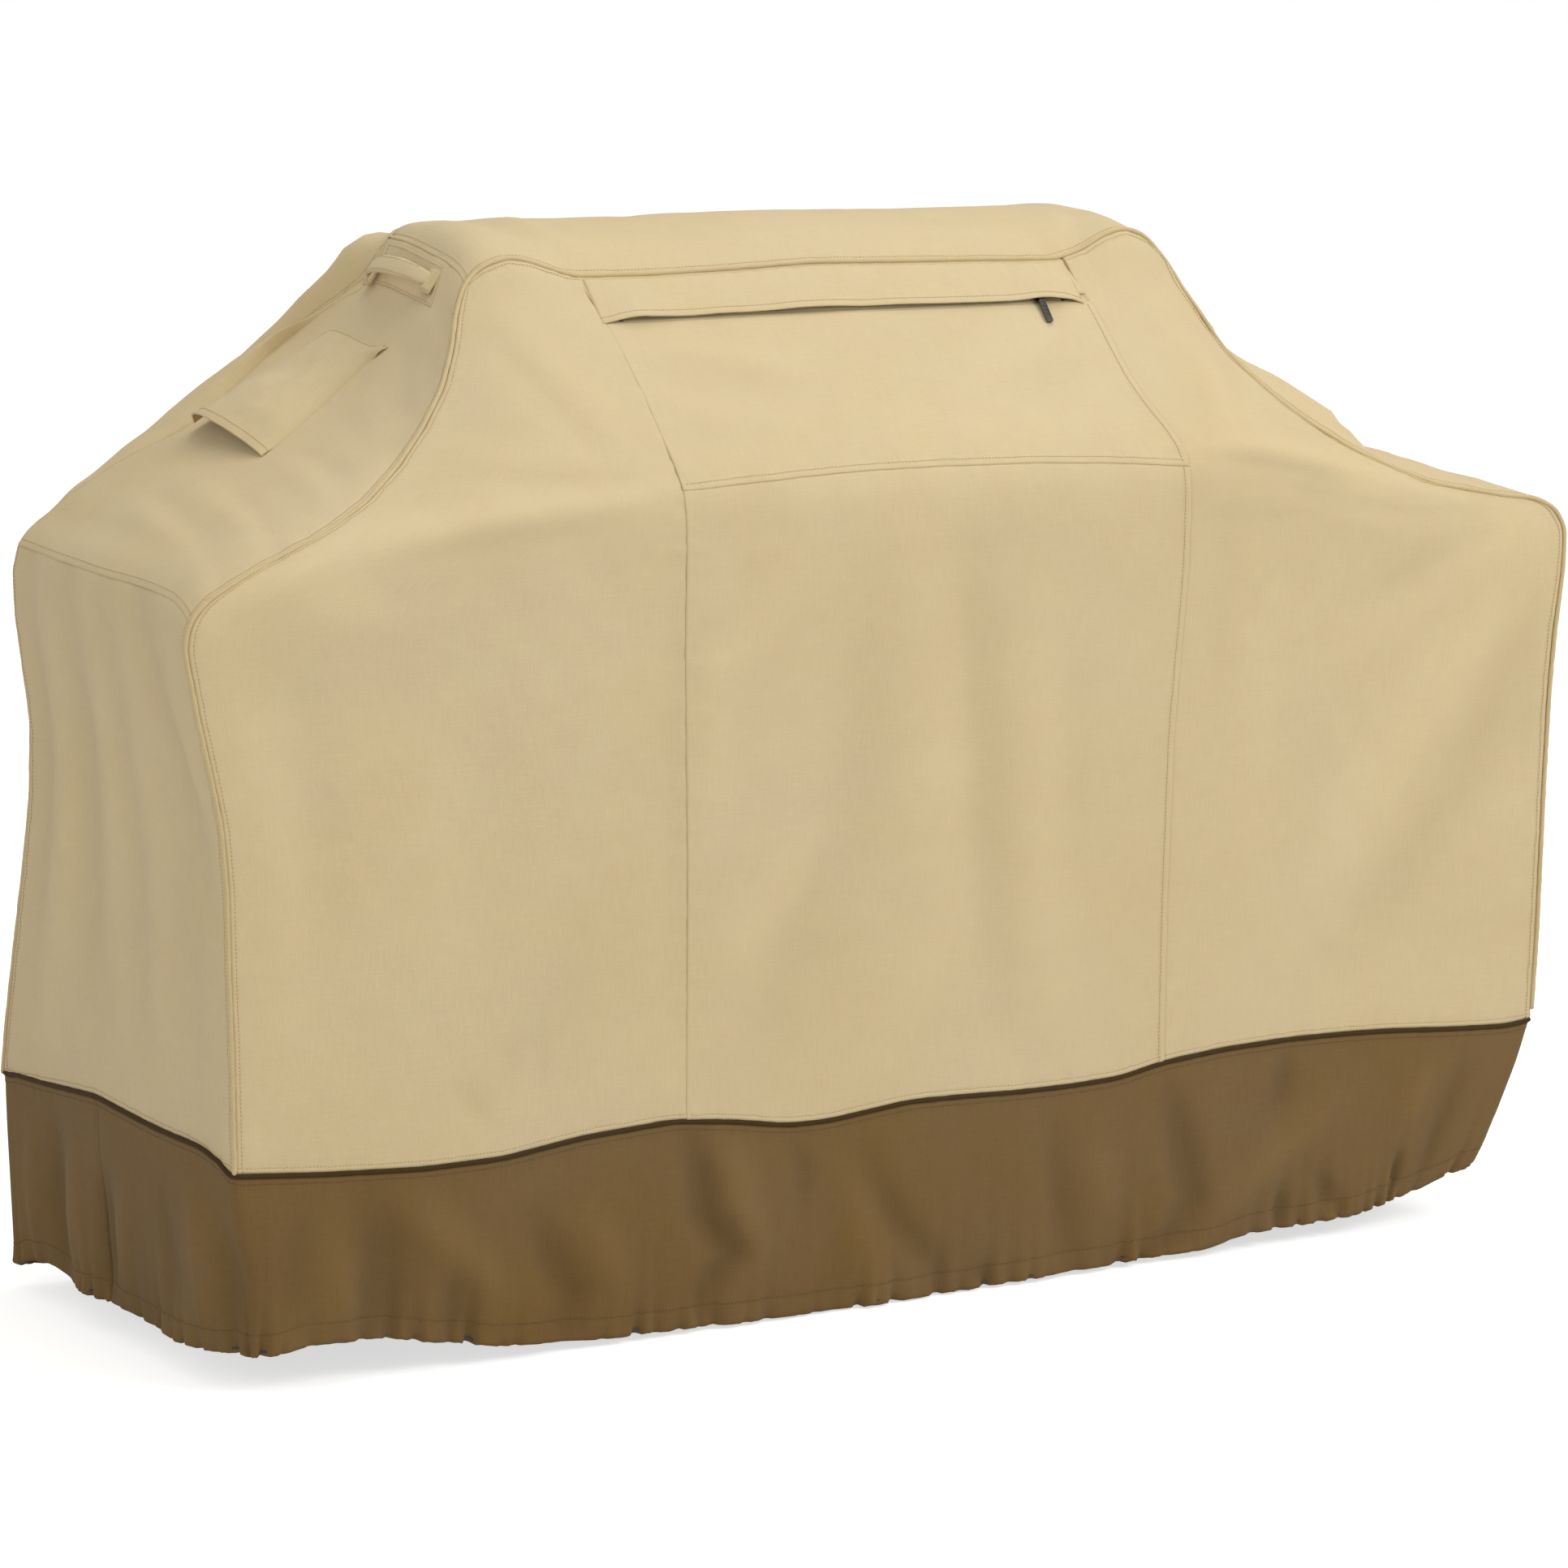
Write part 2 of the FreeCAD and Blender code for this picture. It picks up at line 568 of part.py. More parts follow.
def welt(profile, name):
    """Round cord along the corner of an outline panel and the gusset: up, across, down."""
    top = max(z for _, z in profile)
    heights = sorted(set(round(z, 3) for _, z in welt_outline + profile))
    heights = [low + 0.6] + [z for z in heights if low + 3 < z < top - 2.5]
    rising = sorted(profile, key=lambda p: p[1])
    side = [Vec(at_height(welt_outline, z), at_height(rising, z), z) for z in heights]
    corner = Vec(at_height(welt_outline, top), rising[-1][0], top)
    path = side + [corner]
    path += [Vec(-p.x, p.y, p.z) for p in path[::-1]]
    # a tight bend can spoil the sweep, so the points are thinned until it is sound
    for spacing in (4.0, 7.0, 9.0, 12.0, 16.0):
        spine = thinned(path, corner, spacing)
        profile_wire = round_profile("welt_rad", spine[0], spine[1].sub(spine[0]))
        cord = Part.Wire(Part.makePolygon(spine)).makePipeShell([profile_wire],
                                                                True, False, 1)
        if cord.isValid() and cord.Solids:
            break
    feature(name, cord.Solids[0])


welt(offset_line(FRONT, -welt_inset), "front_welt")
welt(offset_line(BACK, -welt_inset), "back_welt")


def level_line(start, end, z):
    return Part.makeLine(Vec(*start, z), Vec(*end, z))


def quarter_arc(start, end, centre, z):
    """Quarter circle at height z between two (x, y) points."""
    halfway_turn = math.sin(math.pi / 4)
    middle = [c + (a - c + b - c) * halfway_turn for a, b, c in zip(start, end, centre)]
    return Part.Arc(Vec(*start, z), Vec(*middle, z), Vec(*end, z)).toShape()


def ring_edges(half, front, back, radius, z):
    """Rounded rectangle, anticlockwise from the front left."""
    side = half - radius
    near, far = front + radius, back - radius
    return [level_line((-side, front), (side, front), z),
            quarter_arc((side, front), (half, near), (side, near), z),
            level_line((half, near), (half, far), z),
            quarter_arc((half, far), (side, back), (side, far), z),
            level_line((side, back), (-side, back), z),
            quarter_arc((-side, back), (-half, far), (-side, far), z),
            level_line((-half, far), (-half, near), z),
            quarter_arc((-half, near), (-side, front), (-side, near), z)]


# welt round the skirt seam
skirt_ring = Part.Wire(ring_edges(size("half_skirt") - SKIRT_WELT_INSET,
                                  -size("front_y") + SKIRT_WELT_INSET,
                                  size("back_y") - SKIRT_WELT_INSET,
                                  size("skirt_corner") - SKIRT_WELT_INSET,
                                  size("skirt_top")))
ring_profile = start_profile("welt_rad", skirt_ring.Edges[0])
feature("skirt_welt", skirt_ring.makePipeShell([ring_profile], True, False, 0).Solids[0])


# ---------------------------------------------------------------- skirt
# two U-shaped lengths that meet on each end, with a folded hem channel
def skirt_block(name, inset, height, z, radius):
    """Block inset from the skirt face, with its upright edges rounded."""
    block = box(name,
                (f"2*(Dims.half_skirt-({inset}))",
                 f"Dims.front_y+Dims.back_y-2*({inset})", height),
                (f"-Dims.half_skirt+({inset})", f"-Dims.front_y+({inset})", z))
    return fillet(block, radius, is_upright)


corner_rad = size("skirt_corner")
hem_deep = size("hem_deep")
skirt_outer = skirt_block("skirt_outer", "0", "Dims.skirt_top-Dims.skirt_clear", "0",
                          corner_rad)
skirt_inner = skirt_block("skirt_inner", "Dims.fabric_thk", "Dims.skirt_top",
                          "Dims.hem_high", corner_rad - cloth)
hem_inner = skirt_block("hem_inner", "Dims.hem_deep", "2*Dims.hem_high",
                        "-Dims.hem_high/2", corner_rad - hem_deep)
hollow_out = skirt_block("hem_hollow_out", "Dims.fabric_thk",
                         "Dims.hem_high-2*Dims.fabric_thk", "Dims.fabric_thk",
                         corner_rad - cloth)
hollow_in = skirt_block("hem_hollow_in", "Dims.hem_deep-Dims.fabric_thk",
                        "2*Dims.hem_high", "-Dims.hem_high/2",
                        corner_rad - hem_deep + cloth)
hem_hollow = cut("hem_hollow", hollow_out, hollow_in)
cord_exits = fuse("cord_exits", *[
    cylinder("exit_" + word, "Dims.eyelet_hole", "12",
             (f"Dims.exit_{word}_x", "Dims.back_y-6", "Dims.cord_z"))
    for word in ("right", "left")])
skirt_shell = cut("skirt_shell", skirt_outer, fuse("skirt_core", skirt_inner, hem_inner))
skirt_tube = cut("skirt_tube", skirt_shell, fuse("skirt_voids", hem_hollow, cord_exits))
for word, reach, start in (("front", "Dims.front_y+Dims.skirt_seam_y+10", "-Dims.front_y-10"),
                           ("back", "Dims.back_y-Dims.skirt_seam_y+10",
                            "Dims.skirt_seam_y")):
    half_block = box(f"skirt_{word}_block", ("2*Dims.half_skirt+20", reach, "400"),
                     ("-Dims.half_skirt-10", start, "-20"))
    label(common(f"skirt_{word}_shape", skirt_tube, half_block), "skirt_" + word)

# ---------------------------------------------------------------- zip
# two tapes, two coil rows and the end stops, on one tilted frame
zip_rotation = Rotation(Vec(1, 0, 0), size("zip_tilt"))
zip_place = Placement(Vec(0, size("zip_y"), size("zip_z")), zip_rotation)
ZIP_COS = "cos(Dims.zip_tilt*1deg)"
ZIP_SIN = "sin(Dims.zip_tilt*1deg)"


def zip_box(name, sizes, x, up, out):
    """Box laid along the zip: x along it, then up the cloth, then out of it."""
    return box(name, sizes,
               (x, f"Dims.zip_y+({up})*{ZIP_COS}-({out})*{ZIP_SIN}",
                f"Dims.zip_z+({up})*{ZIP_SIN}+({out})*{ZIP_COS}"), zip_rotation)


# (object, piece, upward extent, start up the cloth) for the tapes and for the coil rows
for name, piece, wide, up in (
        ("tape_low", "zip_lower_tape", "Dims.tape_low_v-Dims.tape_gap", "-Dims.tape_low_v"),
        ("tape_up", "zip_upper_tape", "Dims.tape_up_v-Dims.tape_gap", "Dims.tape_gap")):
    label(zip_box(name, ("2*Dims.zip_half+8", wide, "Dims.tape_thk"),
                  "-Dims.zip_half-4", up, "Dims.tape_n"), piece)
for name, piece, up in (
        ("coil_low_row", "zip_lower_coil", "-Dims.coil_in-Dims.coil_wide"),
        ("coil_up_row", "zip_upper_coil", "Dims.coil_in")):
    label(zip_box(name, ("2*Dims.zip_half", "Dims.coil_wide", "Dims.coil_high"),
                  "-Dims.zip_half", up, "Dims.coil_low"), piece)

stops = []
for word, x in (("right", "Dims.zip_half+0.2"), ("left", "-Dims.zip_half-Dims.stop_long-0.2")):
    stop = zip_box("stop_" + word, ("Dims.stop_long", "Dims.stop_wide", "Dims.stop_high"),
                   x, "-Dims.stop_wide/2", "-1.5")
    stops.append(fillet(stop, size("stop_round")))
label(fuse("stops_shape", *stops), "zip_stops")


# ---------------------------------------------------------------- PartDesign helpers
def body_sketch(body, name, role, offset=None):
    """Empty sketch on one of the body's origin planes, raised by an expression."""
    sketch = body.newObject("Sketcher::SketchObject", name)
    plane = [f for f in body.Origin.OriginFeatures if f.Role == role][0]
    sketch.AttachmentSupport = (plane, [""])
    sketch.MapMode = "FlatFace"
    if offset:
        sketch.setExpression(".AttachmentOffset.Base.z", offset)
    return sketch


def bound_constraint(sketch, arguments, expression):
    index = sketch.addConstraint(Sketcher.Constraint(*arguments))
    sketch.setExpression(f"Constraints[{index}]", expression)


def rect_sketch(body, name, offset, x0, y0, x1, y1):
    """Rectangle in XY whose four edge positions are bound to sheet expressions."""
    sketch = body_sketch(body, name, "XY_Plane", offset)
    corners = [Vec(-1, -1, 0), Vec(1, -1, 0), Vec(1, 1, 0), Vec(-1, 1, 0)]
    for i in range(4):
        sketch.addGeometry(Part.LineSegment(corners[i], corners[(i + 1) % 4]), False)
    for i in range(4):
        sketch.addConstraint(Sketcher.Constraint("Coincident", i, 2, (i + 1) % 4, 1))
    sketch.addConstraint([Sketcher.Constraint("Horizontal", 0),
                          Sketcher.Constraint("Horizontal", 2),
                          Sketcher.Constraint("Vertical", 1),
                          Sketcher.Constraint("Vertical", 3)])
    bound_constraint(sketch, ("DistanceX", -1, 1, 0, 1, -1.0), x0)
    bound_constraint(sketch, ("DistanceY", -1, 1, 0, 1, -1.0), y0)
    bound_constraint(sketch, ("DistanceX", -1, 1, 1, 2, 1.0), x1)
    bound_constraint(sketch, ("DistanceY", -1, 1, 1, 2, 1.0), y1)
    return sketch


def circle_sketch(body, name, x, y, radius):
    """Circle in YZ with its radius and centre bound to expressions."""
    sketch = body_sketch(body, name, "YZ_Plane")
    sketch.addGeometry(Part.Circle(Vec(1, 1, 0), Vec(0, 0, 1), 1.0), False)
    bound_constraint(sketch, ("Radius", 0, 1.0), radius)
    bound_constraint(sketch, ("DistanceX", -1, 1, 0, 3, 1.0), x)
    bound_constraint(sketch, ("DistanceY", -1, 1, 0, 3, 1.0), y)
    return sketch


def symmetric(step):
    # guards against builds whose pads or pockets still use Midplane
    try:
        step.SideType = "Symmetric"
    except Exception:
        step.Midplane = True


def pad(body, sketch, name, length, both_sides=False):
    step = body.newObject("PartDesign::Pad", name)
    step.Profile = sketch
    step.setExpression("Length", length)
    if both_sides:
        symmetric(step)


def pocket(body, sketch, name, length, least, failure, both_sides=False):
    """Pocket that must take away at least the given volume."""
    before = body.Shape.Volume
    step = body.newObject("PartDesign::Pocket", name)
    step.Profile = sketch
    if both_sides:
        symmetric(step)
    step.setExpression("Length", length)
    if not both_sides:
        step.Reversed = True
    doc.recompute()
    if body.Shape.Volume > before - least:
        raise SystemExit(failure)


def round_corners(body, name, half_wide, radius):
    """Round the upright edges of the latest step that stand at x = +-half_wide."""
    doc.recompute()
    below = body.Tip
    step = body.newObject("PartDesign::Fillet", name)
    step.Base = (below, [f"Edge{i}" for i, edge in enumerate(below.Shape.Edges, 1)
                         if is_upright(edge)
                         and abs(abs(edge.Vertexes[0].X) - half_wide) < 1e-6])
    step.Radius = radius
    doc.recompute()


# ---------------------------------------------------------------- zip slider
# local frame: x along the zip, y up the cloth, z out of it
slider = doc.addObject("PartDesign::Body", "slider_body")
PLATE = ("-Dims.slider_long/2", "-Dims.slider_wide/2",
         "Dims.slider_long/2", "Dims.slider_wide/2")
pad(slider, rect_sketch(slider, "slider_low_sketch", "Dims.plate_low_n", *PLATE),
    "slider_low_plate", "Dims.plate_thk")
pad(slider, rect_sketch(slider, "slider_post_sketch", "Dims.plate_low_n",
                        "Dims.slider_long/2-Dims.post_long-1", "-Dims.post_wide/2",
                        "Dims.slider_long/2-1", "Dims.post_wide/2"),
    "slider_post", "Dims.plate_top_n-Dims.plate_low_n+Dims.plate_thk")
pad(slider, rect_sketch(slider, "slider_top_sketch", "Dims.plate_top_n", *PLATE),
    "slider_top_plate", "Dims.plate_thk")
round_corners(slider, "slider_corners", size("slider_long") / 2, 2.6)
for word, x0, x1 in (("a", "-Dims.bail_long/2", "-Dims.bail_long/2+Dims.bail_leg"),
                     ("b", "Dims.bail_long/2-Dims.bail_leg", "Dims.bail_long/2")):
    leg = rect_sketch(slider, f"bail_leg_{word}_sketch", "Dims.plate_top_n+Dims.plate_thk/2",
                      x0, "-Dims.bail_rad", x1, "Dims.bail_rad")
    pad(slider, leg, "bail_leg_" + word, "Dims.bail_n-Dims.plate_top_n-Dims.plate_thk/2")
pad(slider, circle_sketch(slider, "bail_bar_sketch", "0", "Dims.bail_n", "Dims.bail_rad"),
    "bail_bar", "Dims.bail_long", True)
doc.recompute()
slider.Placement = Placement(zip_place.multVec(Vec(size("slider_x"), 0, 0)), zip_rotation)
label(slider, "zip_slider")

# ---------------------------------------------------------------- zip pull
# local frame: pivot on the x axis at the origin, hanging along -y
pull = doc.addObject("PartDesign::Body", "pull_body")
pad(pull, rect_sketch(pull, "tab_sketch", "-Dims.pull_thk/2",
                      "-Dims.pull_wide/2", "-Dims.eye_rad-Dims.pull_long",
                      "Dims.pull_wide/2", "-Dims.eye_rad-2"), "tab", "Dims.pull_thk")
round_corners(pull, "tab_corners", size("pull_wide") / 2, 2.4)
pad(pull, rect_sketch(pull, "neck_sketch", "-Dims.pull_thk/2+0.2",
                      "-Dims.eye_thk/2", "-Dims.eye_rad-3.5", "Dims.eye_thk/2", "-1.5"),
    "neck", "Dims.pull_thk-0.4")
doc.recompute()
pad(pull, circle_sketch(pull, "eye_sketch", "0", "0", "Dims.eye_rad"), "eye",
    "Dims.eye_thk", True)
doc.recompute()
for k in range(4):
    groove_top = f"-Dims.eye_rad-5.6-{k}*Dims.rib_pitch"
    for face, offset in (("front", "Dims.pull_thk/2-Dims.rib_deep"),
                         ("rear", "-Dims.pull_thk/2")):
        groove = rect_sketch(pull, f"rib_{face}_{k}", offset, "-Dims.pull_wide/2+1.5",
                             groove_top + "-Dims.rib_open", "Dims.pull_wide/2-1.5",
                             groove_top)
        pocket(pull, groove, f"groove_{face}_{k}", "Dims.rib_deep", 5,
               "groove cut nothing")
pocket(pull, circle_sketch(pull, "eye_hole_sketch", "0", "0", "Dims.eye_hole"), "eye_bore",
       "Dims.eye_thk+4", 4, "eye bore cut nothing", both_sides=True)
lean = Rotation(Vec(1, 0, 0), size("pull_lean"))
pull.Placement = Placement(zip_place.multVec(Vec(size("slider_x"), 0, size("bail_n"))),
                           zip_rotation.multiply(lean))
label(pull, "zip_pull")

# ---------------------------------------------------------------- cord lock
# barrel along +Y, bore open outwards, two cord passages along X
LOCK_Z = "(Dims.cord_z+Dims.cord_z_upper)/2"
barrel = fillet(cylinder("lock_barrel", "Dims.lock_rad", "Dims.lock_out_y-Dims.lock_in_y",
                         ("Dims.lock_x", "Dims.lock_in_y", LOCK_Z)), 1.6, is_circle)
lock_bore = cylinder("lock_bore_tool", "Dims.lock_bore", "30",
                     ("Dims.lock_x", "Dims.lock_in_y+Dims.lock_floor", LOCK_Z))
passages = [cylinder(name, "Dims.cord_rad+0.7", "40", ("Dims.lock_x-20", "Dims.tail_y", z),
                     "x")
            for name, z in (("passage_low", "Dims.cord_z"),
                            ("passage_high", "Dims.cord_z_upper"))]
label(cut("lock_cut", barrel, fuse("lock_tools", lock_bore, *passages)), "cord_lock_body")

# plunger button, rounded at its outer rim and slotted for both cords
button_y = size("plunger_out_y")
plunger = fillet(cylinder("plunger_rod", "Dims.plunger_rad",
                          "Dims.plunger_out_y-Dims.plunger_in_y",
                          ("Dims.lock_x", "Dims.plunger_in_y", LOCK_Z)), 1.5,
                 lambda edge: is_circle(edge) and abs(edge.CenterOfMass.y - button_y) < 1e-6)
slot = box("plunger_slot",
           ("30", "2*(Dims.cord_rad+0.1)+Dims.plunger_travel",
            "Dims.cord_z_upper-Dims.cord_z+2*(Dims.cord_rad+0.15)"),
           ("Dims.lock_x-15", "Dims.tail_y-Dims.cord_rad-0.1",
            "Dims.cord_z-Dims.cord_rad-0.15"))
label(cut("plunger_cut", plunger, slot), "cord_lock_button")

# compression spring between the barrel floor and the plunger
SPRING_PLAY = 0.25
cord_low, cord_high = size("cord_z"), size("cord_z_upper")
cord_mid = 0.5 * (cord_low + cord_high)
spring_in = size("lock_in_y") + size("lock_floor") + SPRING_PLAY + size("spring_wire")
spring_out = size("plunger_in_y") - SPRING_PLAY - size("spring_wire")
spring_long = spring_out - spring_in
helix = Part.makeHelix(spring_long / size("spring_turns"), spring_long, size("spring_rad"))
spring_profile = start_profile("spring_wire", helix.Edges[0])
spring = Part.Wire(helix.Edges).makePipeShell([spring_profile], True, True)
spring.Placement = Placement(Vec(size("lock_x"), spring_in, cord_mid),
                             Rotation(Vec(1, 0, 0), -90))
feature("cord_lock_spring", spring)

# ---------------------------------------------------------------- elastic cord
# round the hem channel, out through the two eyelets and along the outside as two tails
cord_inset = size("cord_inset")
side_x = size("half_skirt") - cord_inset
hem_front, hem_back = cord_inset - size("front_y"), size("back_y") - cord_inset
tail_y, tail_end = size("tail_y"), size("tail_end_x")
exit_right, exit_left = size("exit_right_x"), size("exit_left_x")
exit_rad = size("exit_bend")
tail_rad = tail_y - hem_back - exit_rad
bend_y = hem_back + exit_rad                       # where the two bends of an exit meet
turn_rad = corner_rad - cord_inset
EASE_END, EASE_MID = 62, 38                        # upper tail's rise, left of its exit

tail_start = exit_right - tail_rad
rise_end = exit_right - EASE_END
rise = Part.BSplineCurve()
rise.interpolate(Points=[Vec(rise_end, tail_y, cord_high),
                         Vec(exit_right - EASE_MID, tail_y, cord_mid),
                         Vec(tail_start, tail_y, cord_low)],
                 Tangents=[Vec(50, 0, 0), Vec(24, 0, -8), Vec(50, 0, 0)],
                 TangentFlags=[True, True, True])
hem_ring = ring_edges(side_x, hem_front, hem_back, turn_rad, cord_low)
cord_path = [
    level_line((tail_end, tail_y), (rise_end, tail_y), cord_high),
    rise.toShape(),
    quarter_arc((tail_start, tail_y), (exit_right, bend_y), (tail_start, bend_y), cord_low),
    quarter_arc((exit_right, bend_y), (exit_right + exit_rad, hem_back),
                (exit_right + exit_rad, bend_y), cord_low),
    level_line((exit_right + exit_rad, hem_back), (side_x - turn_rad, hem_back), cord_low),
    *[hem_ring[i] for i in (3, 2, 1, 0, 7, 6, 5)],
    level_line((turn_rad - side_x, hem_back), (exit_left - exit_rad, hem_back), cord_low),
    quarter_arc((exit_left - exit_rad, hem_back), (exit_left, bend_y),
                (exit_left - exit_rad, bend_y), cord_low),
    quarter_arc((exit_left, bend_y), (exit_left - tail_rad, tail_y),
                (exit_left - tail_rad, bend_y), cord_low),
    level_line((exit_left - tail_rad, tail_y), (tail_end, tail_y), cord_low),
]
cord_wire = Part.Wire(cord_path)
cord_profile = round_profile("cord_rad", Vec(tail_end, tail_y, cord_high), Vec(1, 0, 0))
feature("elastic_cord", cord_wire.makePipeShell([cord_profile], True, False, 0).Solids[0])


# ---------------------------------------------------------------- eyelets and end clip
def eyelet(word):
    """Rolled eyelet in the hem: outer flange, tube, and a curl on the inside."""
    def disc(part, radius, length, y):
        return cylinder(f"eyelet_{part}_{word}", radius, length,
                        (f"Dims.exit_{word}_x", "Dims.back_y" + y, "Dims.cord_z"))

    flange = disc("flange", "Dims.eyelet_rad", "Dims.eyelet_lip", "+0.02")
    tube = disc("tube", "Dims.eyelet_hole-0.05", "Dims.fabric_thk+0.3+Dims.eyelet_lip",
                "-Dims.fabric_thk-0.3")
    curl = disc("curl", "Dims.eyelet_hole+1", "0.5", "-Dims.fabric_thk-0.55")
    hole = disc("bore", "Dims.eyelet_hole-0.65", "12", "-8")
    return cut("eyelet_" + word, fuse("eyelet_solid_" + word, flange, tube, curl), hole)


eyelet_pair = doc.addObject("Part::Compound", "eyelet_pair")
eyelet_pair.Links = [eyelet("right"), eyelet("left")]
label(eyelet_pair, "cord_eyelets")

# clip that joins the two tail ends
clip = box("clip_block", ("Dims.clip_long-0.2", "Dims.clip_wide", "Dims.clip_high"),
           ("Dims.tail_end_x-Dims.clip_long", "Dims.tail_y-Dims.clip_wide/2",
            LOCK_Z + "-Dims.clip_high/2"))
label(fillet(clip, size("clip_round")), "cord_end_clip")

# ---------------------------------------------------------------- move onto the origin
# middle of the depth, from the front of the skirt welt to the face of the lock button
welt_front = size("front_y") - SKIRT_WELT_INSET + size("welt_rad")
put("frame_y", (size("plunger_out_y") - welt_front) / 2)
doc.recompute()
for name, ob in list(pieces.items()):
    ob.Label = "drawn_" + name
    placed = doc.addObject("Part::Compound", "placed_" + name)
    placed.Links = [ob]
    placed.setExpression(".Placement.Base.y", "-Dims.frame_y")
    label(placed, name)

# ---------------------------------------------------------------- check and write
doc.recompute()
bad = [o.Name for o in doc.Objects if "Invalid" in o.State or "Error" in o.State]
if bad:
    raise SystemExit("failed objects: %s" % bad)
for name, ob in pieces.items():
    shape = ob.Shape
    if shape.isNull() or not shape.isValid() or not shape.Solids:
        raise SystemExit("bad shape: %s" % name)
os.makedirs("parts", exist_ok=True)
for file_name in os.listdir("parts"):
    if file_name.endswith(".step"):
        os.remove(os.path.join("parts", file_name))
for name, ob in pieces.items():
    ob.Shape.exportStep(os.path.join("parts", name + ".step"))
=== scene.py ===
# A fitted cloth cover standing on the floor. Tan canvas panels rise over two shoulders to a
# narrow top; a brown skirt hangs below them, gathered by an elastic hem. It has a zipped pocket
# under a flap at the front, a hooded vent and a strap handle on each slope, and a cord lock at
# the back. The front faces -y, left is -x, and the floor is z = 0.
#
# Surfaces are worked out in millimetres, with y measured from the middle of the gusset.
# build() moves them by Y_SHIFT onto the frame's origin and turns them into metres.
# In a grid of points u counts columns and v counts rows; its edges are u0, u1, v0 and v1.
import itertools
import math
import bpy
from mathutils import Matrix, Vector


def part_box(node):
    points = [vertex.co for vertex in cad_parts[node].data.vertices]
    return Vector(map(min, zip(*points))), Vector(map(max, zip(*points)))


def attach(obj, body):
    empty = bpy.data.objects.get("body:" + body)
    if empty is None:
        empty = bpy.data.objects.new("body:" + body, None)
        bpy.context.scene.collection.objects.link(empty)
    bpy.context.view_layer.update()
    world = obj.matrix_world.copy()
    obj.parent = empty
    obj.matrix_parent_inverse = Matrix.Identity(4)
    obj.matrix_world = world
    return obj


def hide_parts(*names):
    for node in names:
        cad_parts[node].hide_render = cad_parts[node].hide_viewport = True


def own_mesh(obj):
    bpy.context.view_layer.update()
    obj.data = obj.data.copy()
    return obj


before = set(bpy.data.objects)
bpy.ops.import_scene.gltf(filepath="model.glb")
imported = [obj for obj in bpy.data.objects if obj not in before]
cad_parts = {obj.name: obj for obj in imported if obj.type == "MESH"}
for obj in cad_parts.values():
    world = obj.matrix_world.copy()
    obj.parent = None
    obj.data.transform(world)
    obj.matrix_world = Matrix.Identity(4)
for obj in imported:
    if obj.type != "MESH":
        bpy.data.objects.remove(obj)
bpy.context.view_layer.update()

from types import SimpleNamespace

import bpy
import numpy as np
from mathutils import Matrix, Vector

LEFT, RIGHT = -1, 1
WORDS = {LEFT: "left", RIGHT: "right"}
Y_SHIFT = -18.625
FRONT_STEP, BACK_STEP = ((7.0, 10.0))    # grid spacing
RING_STEP = 5.0                                # spacing round the skirt
FOOT_Z = 249.0            # nominal height of the seam between panels and skirt
BEND_Z = 954.0            # nominal height of the seam across the front centre
SLIT_LOW, SLIT_HIGH = 1125.9, 1134.1      # edges of the pocket opening
CENTRE_HALF = 325.0       # half width of the centre panels at the back and at the top
BODY_CENTRE = np.array([0, 0, 560.0])


def table(text):
    """Rows of numbers parted by commas, as an array."""
    return np.array([row.split() for row in text.split(",")]).astype(float)


def fold_table(text):
    """Folds (height, half width, path) from entries 'height width: a b, a b' parted by ';'."""
    folds = []
    for entry in text.split(";"):
        size, path = entry.split(":")
        folds.append((*map(float, size.split()), table(path)))
    return folds


# ================================================================== measured outlines
# welts, x y z, from the left foot over the top to the right foot
FRONT_WELT = table("""
    -867 -297 249, -868 -297 382, -870 -297 470, -871 -297 558, -876 -296 628, -888 -295 689,
    -899 -293 742, -906 -291 785, -912 -289 819, -907 -288 841, -896 -286 857, -877 -283 870,
    -838 -279 889, -783 -264 908, -728 -250 926, -665 -223 953, -608 -188 986, -563 -160 1022,
    -527 -139 1063, -503 -118 1105, -490 -102 1139, -475 -89 1164, -460 -82 1181, -439 -81 1194,
    -408 -81 1200, -378 -81 1192, -347 -82 1181, -329 -82 1176, -233 -83 1175, -127 -82 1177,
    -18 -82 1181, 91 -82 1178, 203 -83 1176, 315 -84 1173, 351 -82 1182, 386 -81 1200,
    415 -80 1206, 444 -81 1196, 470 -90 1163, 484 -106 1130, 496 -125 1103, 508 -134 1079,
    523 -141 1057, 540 -151 1038, 573 -172 1003, 602 -199 975, 638 -236 945, 688 -257 920,
    738 -268 901, 780 -274 893, 838 -280 882, 878 -282 878, 907 -286 864, 921 -288 839,
    917 -291 790, 904 -294 712, 897 -295 644, 891 -296 535, 884 -297 345, 878 -297 249""")
BACK_WELT = table("""
    -870 314 249, -870 300 310, -866 283 395, -858 266 504, -852 257 583, -850 255 671,
    -852 265 718, -856 277 790, -858 276 840, -855 264 874, -840 264 889, -814 272 903,
    -790 272 925, -757 272 948, -724 272 970, -683 275 988, -646 276 1011, -613 268 1035,
    -575 253 1059, -538 236 1085, -499 205 1123, -480 178 1145, -465 160 1163, -457 152 1178,
    -450 147 1194, -443 148 1212, -424 158 1219, -395 168 1216, -350 178 1206, -250 184 1196,
    -100 186 1192, 100 186 1190, 250 184 1189, 350 180 1196, 392 176 1204, 420 170 1205,
    448 170 1193, 470 178 1168, 490 198 1128, 506 214 1102, 533 232 1064, 568 248 1036,
    600 262 1010, 640 274 984, 690 282 958, 740 288 936, 790 290 916, 836 288 900,
    878 282 886, 905 275 866, 914 272 838, 908 272 790, 896 276 712, 890 280 644,
    882 290 535, 876 300 380, 872 312 249""")
